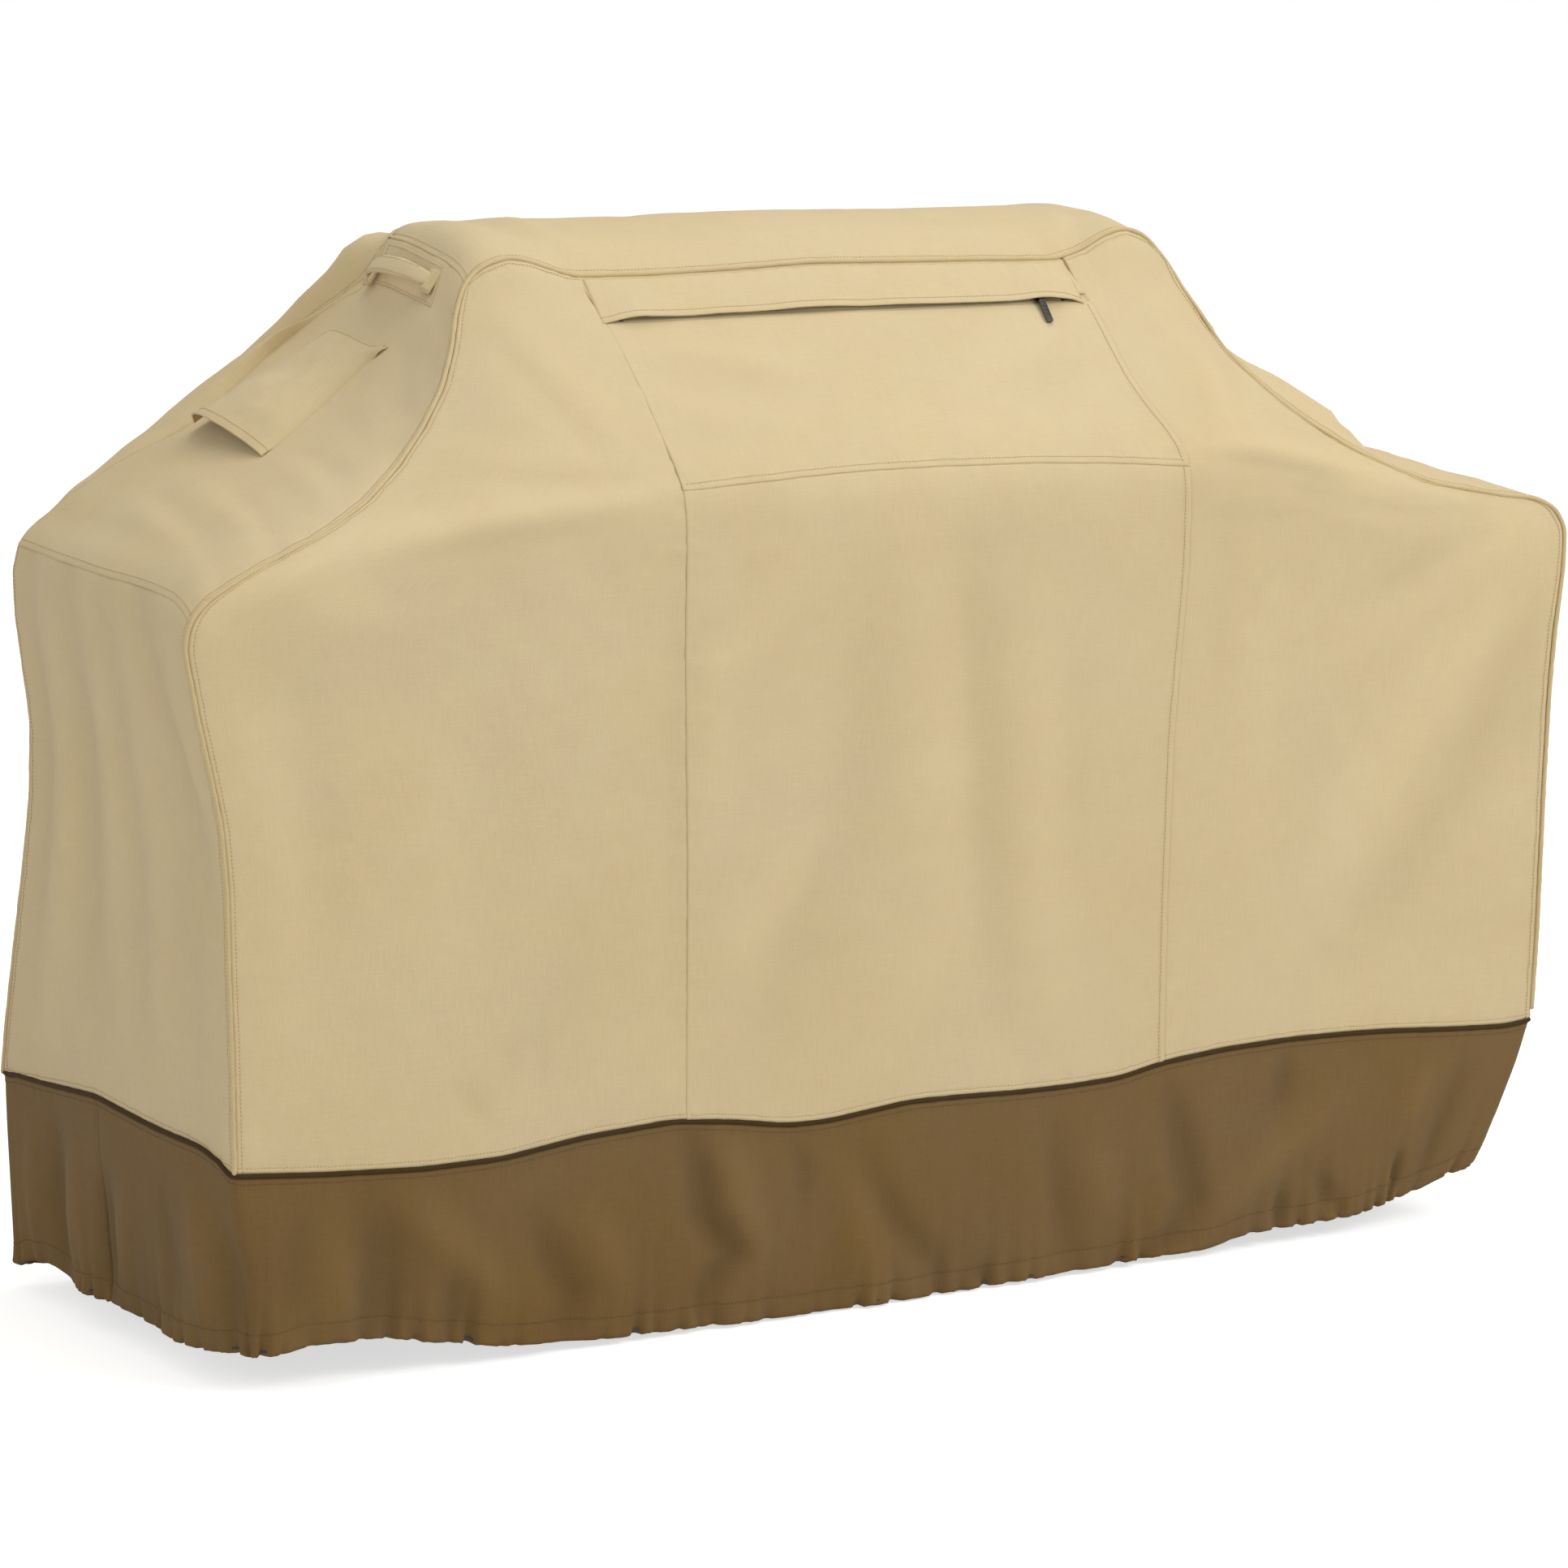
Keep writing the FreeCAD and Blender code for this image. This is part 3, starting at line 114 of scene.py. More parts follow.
# seams that run from front to back, x y z: between end and slope, and between slope and top
SHOULDER_SEAMS = {
    LEFT: table("""-904 -287 847, -899 -262 857, -893 -225 865, -887 -139 869, -885 -10 870,
        -877 133 873, -857 266 872"""),
    RIGHT: table("900 -284 869, 906 -139 872, 904 -10 874, 904 133 874, 900 277 871")}
TOP_SEAMS = {
    LEFT: table("""-468 -85 1173, -461 -60 1184, -457 -21 1194, -453 28 1201, -451 60 1206,
        -448 100 1211, -443 148 1212"""),
    RIGHT: table("""468 -86 1172, 466 -60 1182, 463 -20 1195, 461 60 1203, 459 120 1199,
        455 172 1186""")}
# heights of the skirt's upper seam and of its hem: x z on front and back, y z on the ends
SEAM_HEIGHTS = {
    "front": table("""-885 252, -867 250, -761 240, -643 232, -544 232, -442 244, -328 249,
        -250 240, -181 228, -127 227, -19 237, 60 235, 125 232, 200 231, 272 233, 330 244,
        420 251, 516 253, 600 251, 661 248, 760 240, 845 235, 885 240"""),
    "back": table("""-885 254, -700 246, -500 252, -330 247, -120 240, 60 244, 250 239,
        420 250, 620 244, 885 250"""),
    LEFT: table("-300 252, -220 268, -116 268, -40 271, 45 275, 120 269, 190 263, 322 254"),
    RIGHT: table("-300 240, -200 252, -80 256, 60 250, 180 258, 322 250")}
HEM_HEIGHTS = {
    "front": table("""-900 38, -834 40, -776 50, -688 44, -543 17, -404 7, -321 5, -183 2,
        -30 1, 80 1, 193 5, 308 5, 401 8, 460 18, 603 20, 712 33, 787 42, 830 56, 900 62"""),
    "back": table("""-900 28, -700 14, -450 6, -260 1, -100 0, 60 0, 300 4, 600 12, 780 22,
        900 30"""),
    LEFT: table("-300 44, -150 33, 20 36, 152 35, 197 46, 250 40, 320 30"),
    RIGHT: table("-300 60, -150 48, 0 38, 150 34, 320 26")}
# y at which each edge height gives way from the ends to the front, and to the back
SEAM_TURNS = ((-262, -294), (272, 304))
HEM_TURNS = ((-255, -292), (265, 302))
# upright seams beside the front centre, z x
CENTRE_SEAMS = {
    LEFT: table("240 -310, 506 -307, 778 -309, 954 -306, 1066 -308, 1136 -316, 1180 -328"),
    RIGHT: table("""240 332, 446 335, 637 342, 826 360, 946 362, 971 359, 1038 337, 1131 333,
        1180 316""")}
# seam across the front centre, x z
BEND_SEAM = table("""-330 954, -306 954, -196 959, -90 963, 18 963, 159 960, 269 954, 362 946,
    390 944""")
# upright profiles through the middle, z y
FRONT_PROFILE = table("""240 -298, 898 -298, 938 -294, 966 -282, 1107 -150, 1143 -116,
    1180 -80""")
BACK_PROFILE = table("240 308, 898 308, 950 302, 998 282, 1180 188")
# more points that the front and the back pass through, x y z
FRONT_POINTS = table("""
    -774 -291 905, -654 -294 916, -506 -295 928, -405 -294 941, -700 -297 870, -560 -298 880,
    -430 -298 895, -560 -262 968, -470 -258 990, -400 -250 1000, -440 -205 1050,
    -390 -200 1058, -400 -150 1110, -370 -118 1148, 380 -288 962, 477 -292 950, 578 -292 930,
    685 -290 908, 450 -298 890, 600 -298 870, 720 -297 860, 470 -255 992, 420 -245 1008,
    430 -200 1052, 395 -150 1108, 380 -118 1145, 560 -262 962""")
BACK_POINTS = table("""
    -700 308 860, -560 308 890, -430 308 900, 560 308 890, 430 308 900, 700 308 860,
    -560 300 940, 560 300 930, -450 285 985, 450 285 985, -400 255 1045, 410 255 1045,
    -385 225 1105, 390 222 1110""")
# section of the top from front to back, y z
CROWN = table("""-90 1176, -82 1181, -70 1190, -50 1203, -20 1217, 20 1227, 60 1231, 100 1229,
    130 1222, 155 1212, 175 1200, 190 1190""")
# z, and how far in y the left slope's rear seam lies from the back welt's line
REAR_SHIFT = table("""895 0, 912 -4, 946 -22, 978 -44, 1001 -62, 1026 -58, 1050 -36, 1075 -12,
    1100 0, 1135 -3, 1154 -20, 1175 -6, 1190 0""")


# ================================================================== curves
def lengths(points):
    """Running length along a polyline."""
    return np.r_[0, np.cumsum(np.linalg.norm(np.diff(points, axis=0), axis=1))]


def sample(rows, keys, places):
    """Every column of rows, known at rising keys, read at new places."""
    return np.stack([np.interp(places, keys, column) for column in rows.T], -1)


def smooth_curve(points, sigma=10.0, step=2.0):
    """Smooth dense polyline through the points; both ends stay put."""
    run = lengths(points)
    count = max(12, int(run[-1] / step))
    even = sample(points, run, np.linspace(0, run[-1], count))
    spacing = run[-1] / (count - 1)
    reach = min(max(1, int(3 * sigma / spacing)), count - 2)
    kernel = np.exp(-0.5 * (np.arange(-reach, reach + 1) * spacing / sigma) ** 2)
    kernel /= kernel.sum()
    before = 2 * even[0] - even[1:reach + 1][::-1]
    after = 2 * even[-1] - even[-reach - 1:-1][::-1]
    padded = np.concatenate([before, even, after])
    return np.stack([np.convolve(column, kernel, "valid") for column in padded.T], 1)


def at_fraction(curve, fractions):
    run = lengths(curve)
    return sample(curve, run, fractions * run[-1])


def at_key(curve, axis, values):
    """Points of the curve where one coordinate takes the values."""
    order = np.argsort(curve[:, axis])
    return sample(curve[order], curve[order, axis], values)


def nearest_index(curve, point):
    return int(np.argmin(np.linalg.norm(curve - point, axis=1)))


def rising(curve):
    """Only the points that go on rising in z."""
    keep = [0]
    for i in range(1, len(curve)):
        if curve[i, 2] > curve[keep[-1], 2] + 1e-6:
            keep.append(i)
    return curve[keep]


def ease(start, end, x):
    """0 at start, 1 at end, smooth between."""
    part = np.clip((x - start) / (end - start), 0, 1)
    return part * part * (3 - 2 * part)


def bell(x, width):
    return np.exp(-(x / width) ** 2)


def fade(x, length):
    return np.exp(-x / length)


def soft_lookup(rows, at, reach=18.0):
    """Two-column table lookup, softened over the reach."""
    total = 0
    for offset, share in ((-1, .15), (-.5, .22), (0, .26), (.5, .22), (1, .15)):
        total = total + share * np.interp(at + offset * reach, *rows.T)
    return total


def edge_height(heights, turns, x, y):
    """Height, at a point of the plan outline, of an edge that runs round the cover."""
    front_share = ease(*turns[0], y)
    back_share = ease(*turns[1], y)
    ends = np.where(x < 0, soft_lookup(heights[LEFT], y), soft_lookup(heights[RIGHT], y))
    return (front_share * soft_lookup(heights["front"], x)
            + back_share * soft_lookup(heights["back"], x)
            + (1 - front_share - back_share) * ends)


def seam_height(x, y):
    return edge_height(SEAM_HEIGHTS, SEAM_TURNS, x, y)


# ================================================================== front and back surfaces
def fit_plate(knots):
    """Thin-plate surface y(x, z) through x y z knots."""
    scale = 100.0
    stiffness = 0.002
    points = knots[:, [0, 2]] / scale
    count = len(points)

    def kernel(first, second):
        square = ((first[:, None] - second[None]) ** 2).sum(-1)
        return 0.5 * square * np.log(square + 1e-12)

    system = np.zeros((count + 3, count + 3))
    system[:count, :count] = kernel(points, points) + stiffness * np.eye(count)
    system[:count, count] = 1
    system[:count, count + 1:] = points
    system[count, :count] = 1
    system[count + 1:, :count] = points.T
    weights = np.linalg.solve(system, np.r_[knots[:, 1], 0, 0, 0])

    def plate(x, z):
        places = np.stack([x.ravel(), z.ravel()], 1) / scale
        bent = kernel(places, points) @ weights[:count]
        return (bent + weights[count] + places @ weights[count + 1:]).reshape(x.shape)

    return plate


def make_face(welt_rows, corner_row, profile, points, foot_y, seams):
    """Front or back: its welt in parts, its surface, and its two centre seams."""
    whole = smooth_curve(welt_rows, 9.0)
    first, last = (nearest_index(whole, TOP_SEAMS[side][corner_row]) for side in (LEFT, RIGHT))
    knots = [*at_fraction(whole, np.linspace(0, 1, 110))]
    middle = ((-285, -190, -95, 0, 95, 190, 285, 330),
              (270, 420, 570, 720, 850, 905, 938, 966, 1000, 1040, 1080, 1112, 1130, 1148, 1164))
    wings = ((-800, -690, -580, -470, -390, 390, 470, 580, 690, 800), (260, 400, 540, 680, 800))
    for columns, levels in (middle, wings):
        knots += [(x, np.interp(z, *profile.T), z) for x in columns for z in levels]
    return SimpleNamespace(
        whole=whole, top=whole[first:last + 1],
        welt={LEFT: whole[:first + 1], RIGHT: whole[last:][::-1]},
        plate=fit_plate(np.array([*knots, *points])), foot_y=foot_y, seams=seams)


front = make_face(FRONT_WELT, 0, FRONT_PROFILE, FRONT_POINTS, -297.0, CENTRE_SEAMS)
back = make_face(BACK_WELT, -1, BACK_PROFILE, BACK_POINTS, 308.0,
                 {side: np.array([[FOOT_Z, side * CENTRE_HALF]]) for side in (LEFT, RIGHT)})


def face_y(face, x, z):
    """Depth of a face; the front keeps its plain profile round the pocket opening."""
    y = face.plate(x, z)
    if face is back:
        return y
    share = (1 - ease(280, 318, np.abs(x))) * (1 - ease(22, 40, np.abs(z - 1130)))
    return y * (1 - share) + np.interp(z, *FRONT_PROFILE.T) * share


def top_height(face, x):
    return np.interp(x, face.top[:, 0], face.top[:, 2])


# ================================================================== grids
# rows and columns laid close to every seam; the even spacing starts at the last distance
SEAM_INSETS = np.array((0, 1.3, 2.8, 4.6, 6.6, 8.8, 11.5))


def spaced(span, length, step):
    """Fractions 0..1, extra ones close to both ends; span sets how many lie between."""
    ends = SEAM_INSETS / length
    middle = np.linspace(ends[-1], 1 - ends[-1], int(span / step))
    return np.r_[ends[:-1], middle, 1 - ends[:-1][::-1]]


def levels(low, high, step, fine=(0, 0, 1)):
    """Fractions between two heights; fine is (from z, to z, step factor)."""
    heights = []
    z = low + SEAM_INSETS[-1]
    while z < high - SEAM_INSETS[-1]:
        heights.append(z)
        z += step * fine[2] if fine[0] < z < fine[1] else step
    ends = SEAM_INSETS[:-1]
    heights = np.r_[low + ends, heights, high - ends[::-1]]
    return (heights - low) / (high - low)


def ruled(inner, outer, bottom, top, across, up):
    """Level rows between two side curves, bent to meet the bottom and top curves."""
    part = across[None, :, None]
    grid = (1 - part) * inner[:, None] + part * outer[:, None]
    near_bottom = (np.clip(1 - up / 0.16, 0, 1) ** 2)[:, None, None]
    near_top = (np.clip((up - 1 + 0.10) / 0.10, 0, 1) ** 2)[:, None, None]
    grid = grid + near_bottom * (bottom[None] - ((1 - part) * inner[0] + part * outer[0]))
    return grid + near_top * (top[None] - ((1 - part) * inner[-1] + part * outer[-1]))


def coons(left, right, bottom, top, across, up):
    """Patch between four curves; bottom and top are first pinned, in place, to the sides."""
    bottom[0], bottom[-1] = left[0], right[0]
    top[0], top[-1] = left[-1], right[-1]
    u = across[None, :, None]
    v = up[:, None, None]
    sides = (1 - u) * left[:, None] + u * right[:, None]
    ends = (1 - v) * bottom[None] + v * top[None]
    corners = ((1 - u) * (1 - v) * left[0] + u * (1 - v) * right[0]
               + (1 - u) * v * left[-1] + u * v * right[-1])
    return sides + ends - corners


def wing_grid(face, side, step):
    """Panel from a centre seam (u0) out to the welt (u1)."""
    welt = rising(face.welt[side])
    corner = int(np.argmin(np.abs(face.top[:, 0] - side * CENTRE_HALF)))
    top_line = face.top[:corner + 1][::-1] if side == LEFT else face.top[corner:]
    up = levels(FOOT_Z, 1170, step, (846, 962, 0.62))
    across = spaced(560, 480.0, step)
    inner_z = FOOT_Z + up * (top_line[0, 2] - FOOT_Z)
    outer_z = FOOT_Z + up * (welt[-1, 2] - FOOT_Z)
    near_top = ease(0.93, 1.0, up)
    inner_x = soft_lookup(face.seams[side], inner_z) * (1 - near_top)
    inner = np.stack([inner_x + near_top * top_line[0, 0], inner_z], 1)
    outer = at_key(welt, 2, outer_z)[:, [0, 2]]
    foot_x = inner[0, 0] + across * (outer[0, 0] - inner[0, 0])
    foot_z = seam_height(foot_x, face.foot_y)
    inner[:, 1] += (1 - up) ** 6 * (foot_z[0] - FOOT_Z)
    outer[:, 1] += (1 - up) ** 6 * (foot_z[-1] - FOOT_Z)
    top = at_fraction(top_line, across)[:, [0, 2]]
    flat = ruled(inner, outer, np.stack([foot_x, foot_z], 1), top, across, up)
    x, z = flat[..., 0], flat[..., 1]
    y = face_y(face, x, z)
    if face is front:
        # soft limit at y = -300
        y = -300.0 + 2.0 * np.logaddexp(0, (y + 300.0) / 2.0)
    # even out the turn under the shoulder, edges held
    for _ in range(30 if face is front else 12):
        around = y[:-2, 1:-1] + y[2:, 1:-1] + y[1:-1, :-2] + y[1:-1, 2:]
        y[1:-1, 1:-1] = 0.5 * y[1:-1, 1:-1] + 0.125 * around
    return np.stack([x, y, z], -1)


def front_centre_grid(bottom, top, up, start=(-310.0, 340.0), rounds=4):
    """Front centre panel between two height functions of x; rounds settle each row's ends."""
    across = spaced(640, 640.0, FRONT_STEP)
    rows = []
    for level in up:
        def height(x):
            return bottom(x) * (1 - level) + top(x) * level

        left, right = start
        for _ in range(rounds):
            left = soft_lookup(CENTRE_SEAMS[LEFT], height(left))
            right = soft_lookup(CENTRE_SEAMS[RIGHT], height(right))
        x = left + across * (right - left)
        rows.append(np.stack([x, height(x)], 1))
    flat = np.array(rows)
    x, z = flat[..., 0], flat[..., 1]
    return np.stack([x, face_y(front, x, z), z], -1)


def back_centre_grid(step):
    up = levels(FOOT_Z, 1190, step, (880, 1010, 0.7))[:, None]
    x = -CENTRE_HALF + spaced(640, 640.0, step) * 2 * CENTRE_HALF
    z = seam_height(x, back.foot_y)[None] * (1 - up) + top_height(back, x)[None] * up
    x = np.broadcast_to(x, z.shape)
    return np.stack([x, face_y(back, x, z), z], -1)


shoulder_curves = {side: smooth_curve(rows, 16) for side, rows in SHOULDER_SEAMS.items()}
top_curves = {LEFT: smooth_curve(TOP_SEAMS[LEFT], 10), RIGHT: smooth_curve(TOP_SEAMS[RIGHT], 14)}


def end_grid(side, step):
    """End panel from the front welt (u0) to the back welt (u1)."""
    shoulder = shoulder_curves[side]
    up = levels(FOOT_Z, 868, step)
    across = spaced(600, 560.0, step)
    near, far = (at_key(rising(face.welt[side]), 2, FOOT_Z + up * (end[2] - FOOT_Z))
                 for face, end in ((front, shoulder[0]), (back, shoulder[-1])))
    foot = near[0] + across[:, None] * (far[0] - near[0])
    foot[:, 0] += side * 5 * np.sin(np.pi * across)
    held_y = np.clip(foot[:, 1], SEAM_TURNS[0][0], SEAM_TURNS[1][0])
    z = seam_height(foot[:, 0], held_y)
    foot[:, 2] = z + (FOOT_Z - z[0]) * (1 - across) ** 8 + (FOOT_Z - z[-1]) * across ** 8
    return coons(near, far, foot, at_fraction(shoulder, across), across, up)


def rear_shift(z):
    return np.interp(z, *REAR_SHIFT.T)


slope_up = spaced(620, 560.0, FRONT_STEP)
slope_across = spaced(460, 420.0, FRONT_STEP)


def slope_grid(side):
    """Slope from the front welt (u0) to the rear seam (u1), shoulder (v0) to top (v1)."""
    shoulder = shoulder_curves[side]
    near, far = (at_fraction(welt[nearest_index(welt, end):], slope_up)
                 for welt, end in ((front.welt[side], shoulder[0]),
                                   (back.welt[side], shoulder[-1])))
    if side == LEFT:
        far[:, 1] += rear_shift(far[:, 2])
    return coons(near, far, at_fraction(shoulder, slope_across),
                 at_fraction(top_curves[side], slope_across), slope_across, slope_up)


def top_grid(step):
    """Top from left (u0) to right (u1), front welt (v0) to back welt (v1)."""
    across = spaced(920, 900.0, step)
    up = spaced(290, 260.0, step)
    near, far = at_fraction(front.top, across), at_fraction(back.top, across)
    grid = coons(at_fraction(top_curves[LEFT], up), at_fraction(top_curves[RIGHT], up),
                 near, far, across, up)
    x, y, z = grid[..., 0], grid[..., 1], grid[..., 2]
    from_front = np.maximum(y - near[:, 1][None], 0)
    from_back = np.maximum(far[:, 1][None] - y, 0)
    crown = (soft_lookup(CROWN, y, 10) + (near[:, 2][None] - 1180) * fade(from_front, 45.0)
             + (far[:, 2][None] - 1192) * fade(from_back, 40.0) - 3.0 * ease(-150, 420, x))
    inside = (1 - fade(np.abs(x - x[:, :1]), 26.0)) * (1 - fade(np.abs(x - x[:, -1:]), 55.0))
    inside = inside * (1 - fade(from_front, 10.0)) * (1 - fade(from_back, 10.0))
    return np.stack([x, y, z + inside * (crown - z)], -1)


# ================================================================== materials
MATERIALS = {}


class Shader:
    """A material around one Principled node, with short helpers for writing its tree."""

    def __init__(self, name):
        material = bpy.data.materials.new(name)
        material.use_nodes = True
        MATERIALS[name] = material
        self.tree = material.node_tree
        self.tree.nodes.clear()
        output = self.node("ShaderNodeOutputMaterial")
        self.principled = self.node("ShaderNodeBsdfPrincipled")
        self.feed(output.inputs[0], self.principled.outputs[0])

    def node(self, kind, **settings):
        node = self.tree.nodes.new(kind)
        for key, value in settings.items():
            setattr(node, key, value)
        return node

    def feed(self, socket, value):
        """Gives a socket a number, an RGB colour or a link."""
        if isinstance(value, (int, float)):
            socket.default_value = value
        elif isinstance(value, tuple):
            socket.default_value = (*value, 1.0)
        else:
            self.tree.links.new(value, socket)

    def set(self, **values):
        """Feeds the Principled node; underscores in the names stand for spaces."""
        for key, value in values.items():
            self.feed(self.principled.inputs[key.replace("_", " ")], value)

    def math(self, operation, first, second):
        node = self.node("ShaderNodeMath", operation=operation)
        self.feed(node.inputs[0], first)
        self.feed(node.inputs[1], second)
        return node.outputs[0]

    def swing(self, value, source, amount):
        """The value moved up and down as a 0..1 source swings about its middle."""
        move = self.math("MULTIPLY", self.math("SUBTRACT", source, 0.5), amount)
        return self.math("ADD", value, move)

    def mean(self, first, second):
        half = self.math("MULTIPLY", first, 0.5)
        return self.math("ADD", half, self.math("MULTIPLY", second, 0.5))

    def mix(self, factor, first, second):
        """Colour mix; the Mix node's colour sockets are inputs 6 and 7 and output 2."""
        node = self.node("ShaderNodeMix", data_type="RGBA")
        for index, value in ((0, factor), (6, first), (7, second)):
            self.feed(node.inputs[index], value)
        return node.outputs[2]

    def coord(self, which="Object", scale=(1, 1, 1)):
        source = self.node("ShaderNodeTexCoord")
        mapping = self.node("ShaderNodeMapping")
        mapping.inputs["Scale"].default_value = scale
        self.feed(mapping.inputs[0], source.outputs[which])
        return mapping.outputs[0]

    def texture(self, node, vector, **values):
        self.feed(node.inputs["Vector"], vector)
        for key, value in values.items():
            node.inputs[key].default_value = value
        return node

    def noise(self, vector, scale, detail=3.0, rough=0.55, distortion=0.0):
        return self.texture(self.node("ShaderNodeTexNoise"), vector, Scale=scale, Detail=detail,
                            Roughness=rough, Distortion=distortion).outputs[0]

    def threads(self, vector, pitch, axis, distortion):
        """Sine bands, one to each pitch in metres."""
        node = self.node("ShaderNodeTexWave", wave_type="BANDS", bands_direction=axis,
                         wave_profile="SIN")
        return self.texture(node, vector, Scale=0.31416 / pitch, Distortion=distortion,
                            Detail=1.0).outputs[1]

    def attribute(self, name):
        return self.node("ShaderNodeAttribute", attribute_name=name).outputs["Fac"]

    def remap(self, value, source, target):
        node = self.node("ShaderNodeMapRange")
        self.feed(node.inputs[0], value)
        for i, limit in enumerate((*source, *target)):
            node.inputs[i + 1].default_value = limit
        return node.outputs[0]

    def bump(self, height, strength, distance, normal=None):
        node = self.node("ShaderNodeBump")
        self.feed(node.inputs["Height"], height)
        node.inputs["Strength"].default_value = strength
        node.inputs["Distance"].default_value = distance
        if normal is not None:
            self.feed(node.inputs["Normal"], normal)
        return node.outputs[0]


def scaled(colour, factor):
    return tuple(channel * factor for channel in colour)


def woven(name, colour, pitch=0.0012, bump=0.35, rough=0.84, heather=0.08, patch=0.02,
          sheen=0.08, streak=0.025, fold_shade_and_tone=0.055):
    """Plain-weave cloth: heathered yarn, soft patches, painted fold light and shade, painted
    seam shade.
    """
    shader = Shader(name)
    uv = shader.coord("UV")
    place = shader.coord("Object")
    warp = shader.threads(uv, pitch, "X", distortion=0.6)
    weft = shader.threads(uv, pitch, "Y", distortion=0.6)
    checker = shader.texture(shader.node("ShaderNodeTexChecker"), uv, Scale=1.0 / pitch)
    warp_over = shader.math("MULTIPLY", warp, checker.outputs[1])
    inverse = shader.math("SUBTRACT", 1.0, checker.outputs[1])
    weft_over = shader.math("MULTIPLY", weft, inverse)
    weave = shader.math("ADD", warp_over, weft_over)
    # yarn to yarn differences, drawn out along warp and weft
    thick, long = 1 / (pitch * 1.7), 1 / (pitch * 26)
    yarns = [shader.noise(shader.coord("UV", scale), scale=1.0, detail=2.0)
             for scale in ((thick, long, 1), (long, thick, 1))]
    yarn = shader.mean(*yarns)
    patches = shader.noise(place, scale=3.2, detail=4.0, rough=0.6, distortion=0.4)
    streaks = shader.noise(place, scale=21.0, detail=3.0, rough=0.6)
    grain = shader.noise(place, scale=900.0, detail=2.0, rough=0.6)
    value = 1.0
    for source, amount in ((yarn, heather * 2.4), (patches, patch * 1.6),
                           (streaks, streak * 1.4), (grain, heather * 1.2),
                           (weave, heather * 0.7)):
        value = shader.swing(value, source, amount)
    # painted fold shade from the mesh values: lighter on ridges, darker in hollows
    value = shader.math("ADD", value, shader.math("MULTIPLY", shader.attribute("fold_shade_and_tone"), fold_shade_and_tone))
    # painted shade: darker near seams and edges, from the mesh's edge values
    painted_seam_shade = shader.math("MULTIPLY", shader.attribute("edge"), 0.16)
    value = shader.math("MULTIPLY", value, shader.math("SUBTRACT", 1.0, painted_seam_shade))
    tint = shader.node("ShaderNodeHueSaturation")
    shader.feed(tint.inputs["Color"], colour)
    shader.feed(tint.inputs["Saturation"],
                shader.remap(patches, source=(0.3, 0.7), target=(1.06, 0.95)))
    shader.feed(tint.inputs["Hue"],
                shader.remap(streaks, source=(0.3, 0.7), target=(0.497, 0.503)))
    shader.feed(tint.inputs["Value"], value)
    shader.set(Base_Color=tint.outputs[0], Roughness=shader.swing(rough, streaks, 0.14),
               Specular_IOR_Level=0.28, Sheen_Weight=sheen, Sheen_Roughness=0.55)
    slubs = shader.noise(uv, scale=260.0, detail=2.0)
    uneven = shader.bump(slubs, strength=0.10, distance=0.0006)
    shader.set(Normal=shader.bump(weave, strength=bump, distance=0.00022, normal=uneven))


def moulded(name, colour, rough=0.5, metal=0.0, fine=900.0, bump=0.12, drift=0.12, scratch=0.0,
            coat=0.0, wear=None):
    """Moulded or plated fitting: fine texture, colour drift, brighter rubbed edges."""
    shader = Shader(name)
    place = shader.coord("Object")
    grain = shader.noise(place, scale=fine, detail=3.0, rough=0.6)
    blotch = shader.noise(place, scale=70.0, detail=3.0, rough=0.6)
    share = shader.remap(blotch, source=(0.3, 0.7), target=(0.0, 1.0))
    bright = tuple(min(1, channel * (1 + drift)) for channel in colour)
    base = shader.mix(share, scaled(colour, 1 - drift), bright)
    geometry = shader.node("ShaderNodeNewGeometry")
    rubbed = shader.remap(geometry.outputs["Pointiness"], source=(0.52, 0.62),
                          target=(0.0, 0.6))
    rubbed = shader.math("MULTIPLY", rubbed, grain)
    wear = wear or tuple(min(1, channel * 2.2 + 0.03) for channel in colour)
    gloss = (max(0.05, rough - 0.09), min(1, rough + 0.09))
    shader.set(Base_Color=shader.mix(rubbed, base, wear), Metallic=metal,
               Roughness=shader.remap(grain, source=(0.2, 0.8), target=gloss),
               Coat_Weight=coat)
    normal = shader.bump(grain, strength=bump, distance=0.0002)
    if scratch:
        lines = shader.noise(shader.coord("Object", (40, 900, 900)), scale=1.0, detail=2.0)
        normal = shader.bump(lines, strength=scratch, distance=0.0002, normal=normal)
    shader.set(Normal=normal)


def braided(name, colour):
    """Braid of two crossing sets of threads."""
    shader = Shader(name)
    strands = [shader.threads(shader.coord("UV", scale), 0.0016, "DIAGONAL", distortion=0.4)
               for scale in ((1, 1, 1), (1, -1, 1))]
    height = shader.math("MAXIMUM", *strands)
    fuzz = shader.noise(shader.coord("Object"), scale=1500.0, detail=2.0)
    # painted shade between the strands and painted light on their crowns, mixed with random fuzz
    shade = shader.mix(shader.mean(height, fuzz), scaled(colour, 0.5), scaled(colour, 1.7))
    shader.set(Base_Color=shade, Roughness=0.8, Sheen_Weight=0.2,
               Normal=shader.bump(height, strength=0.6, distance=0.0003))


def netting(name, colour):
    """Open net: the holes between the threads let light through."""
    shader = Shader(name)
    uv = shader.coord("UV")
    cells = shader.node("ShaderNodeTexVoronoi", feature="DISTANCE_TO_EDGE")
    shader.texture(cells, uv, Scale=420.0, Randomness=0.12)
    thread = shader.math("LESS_THAN", cells.outputs[0], 0.17)
    grain = shader.noise(shader.coord("Object"), scale=800.0, detail=2.0)
    shader.set(Base_Color=shader.mix(grain, scaled(colour, 0.6), scaled(colour, 1.6)),
               Alpha=shader.math("MAXIMUM", thread, 0.12), Roughness=0.75,
               Normal=shader.bump(cells.outputs[0], strength=0.5, distance=0.0004))


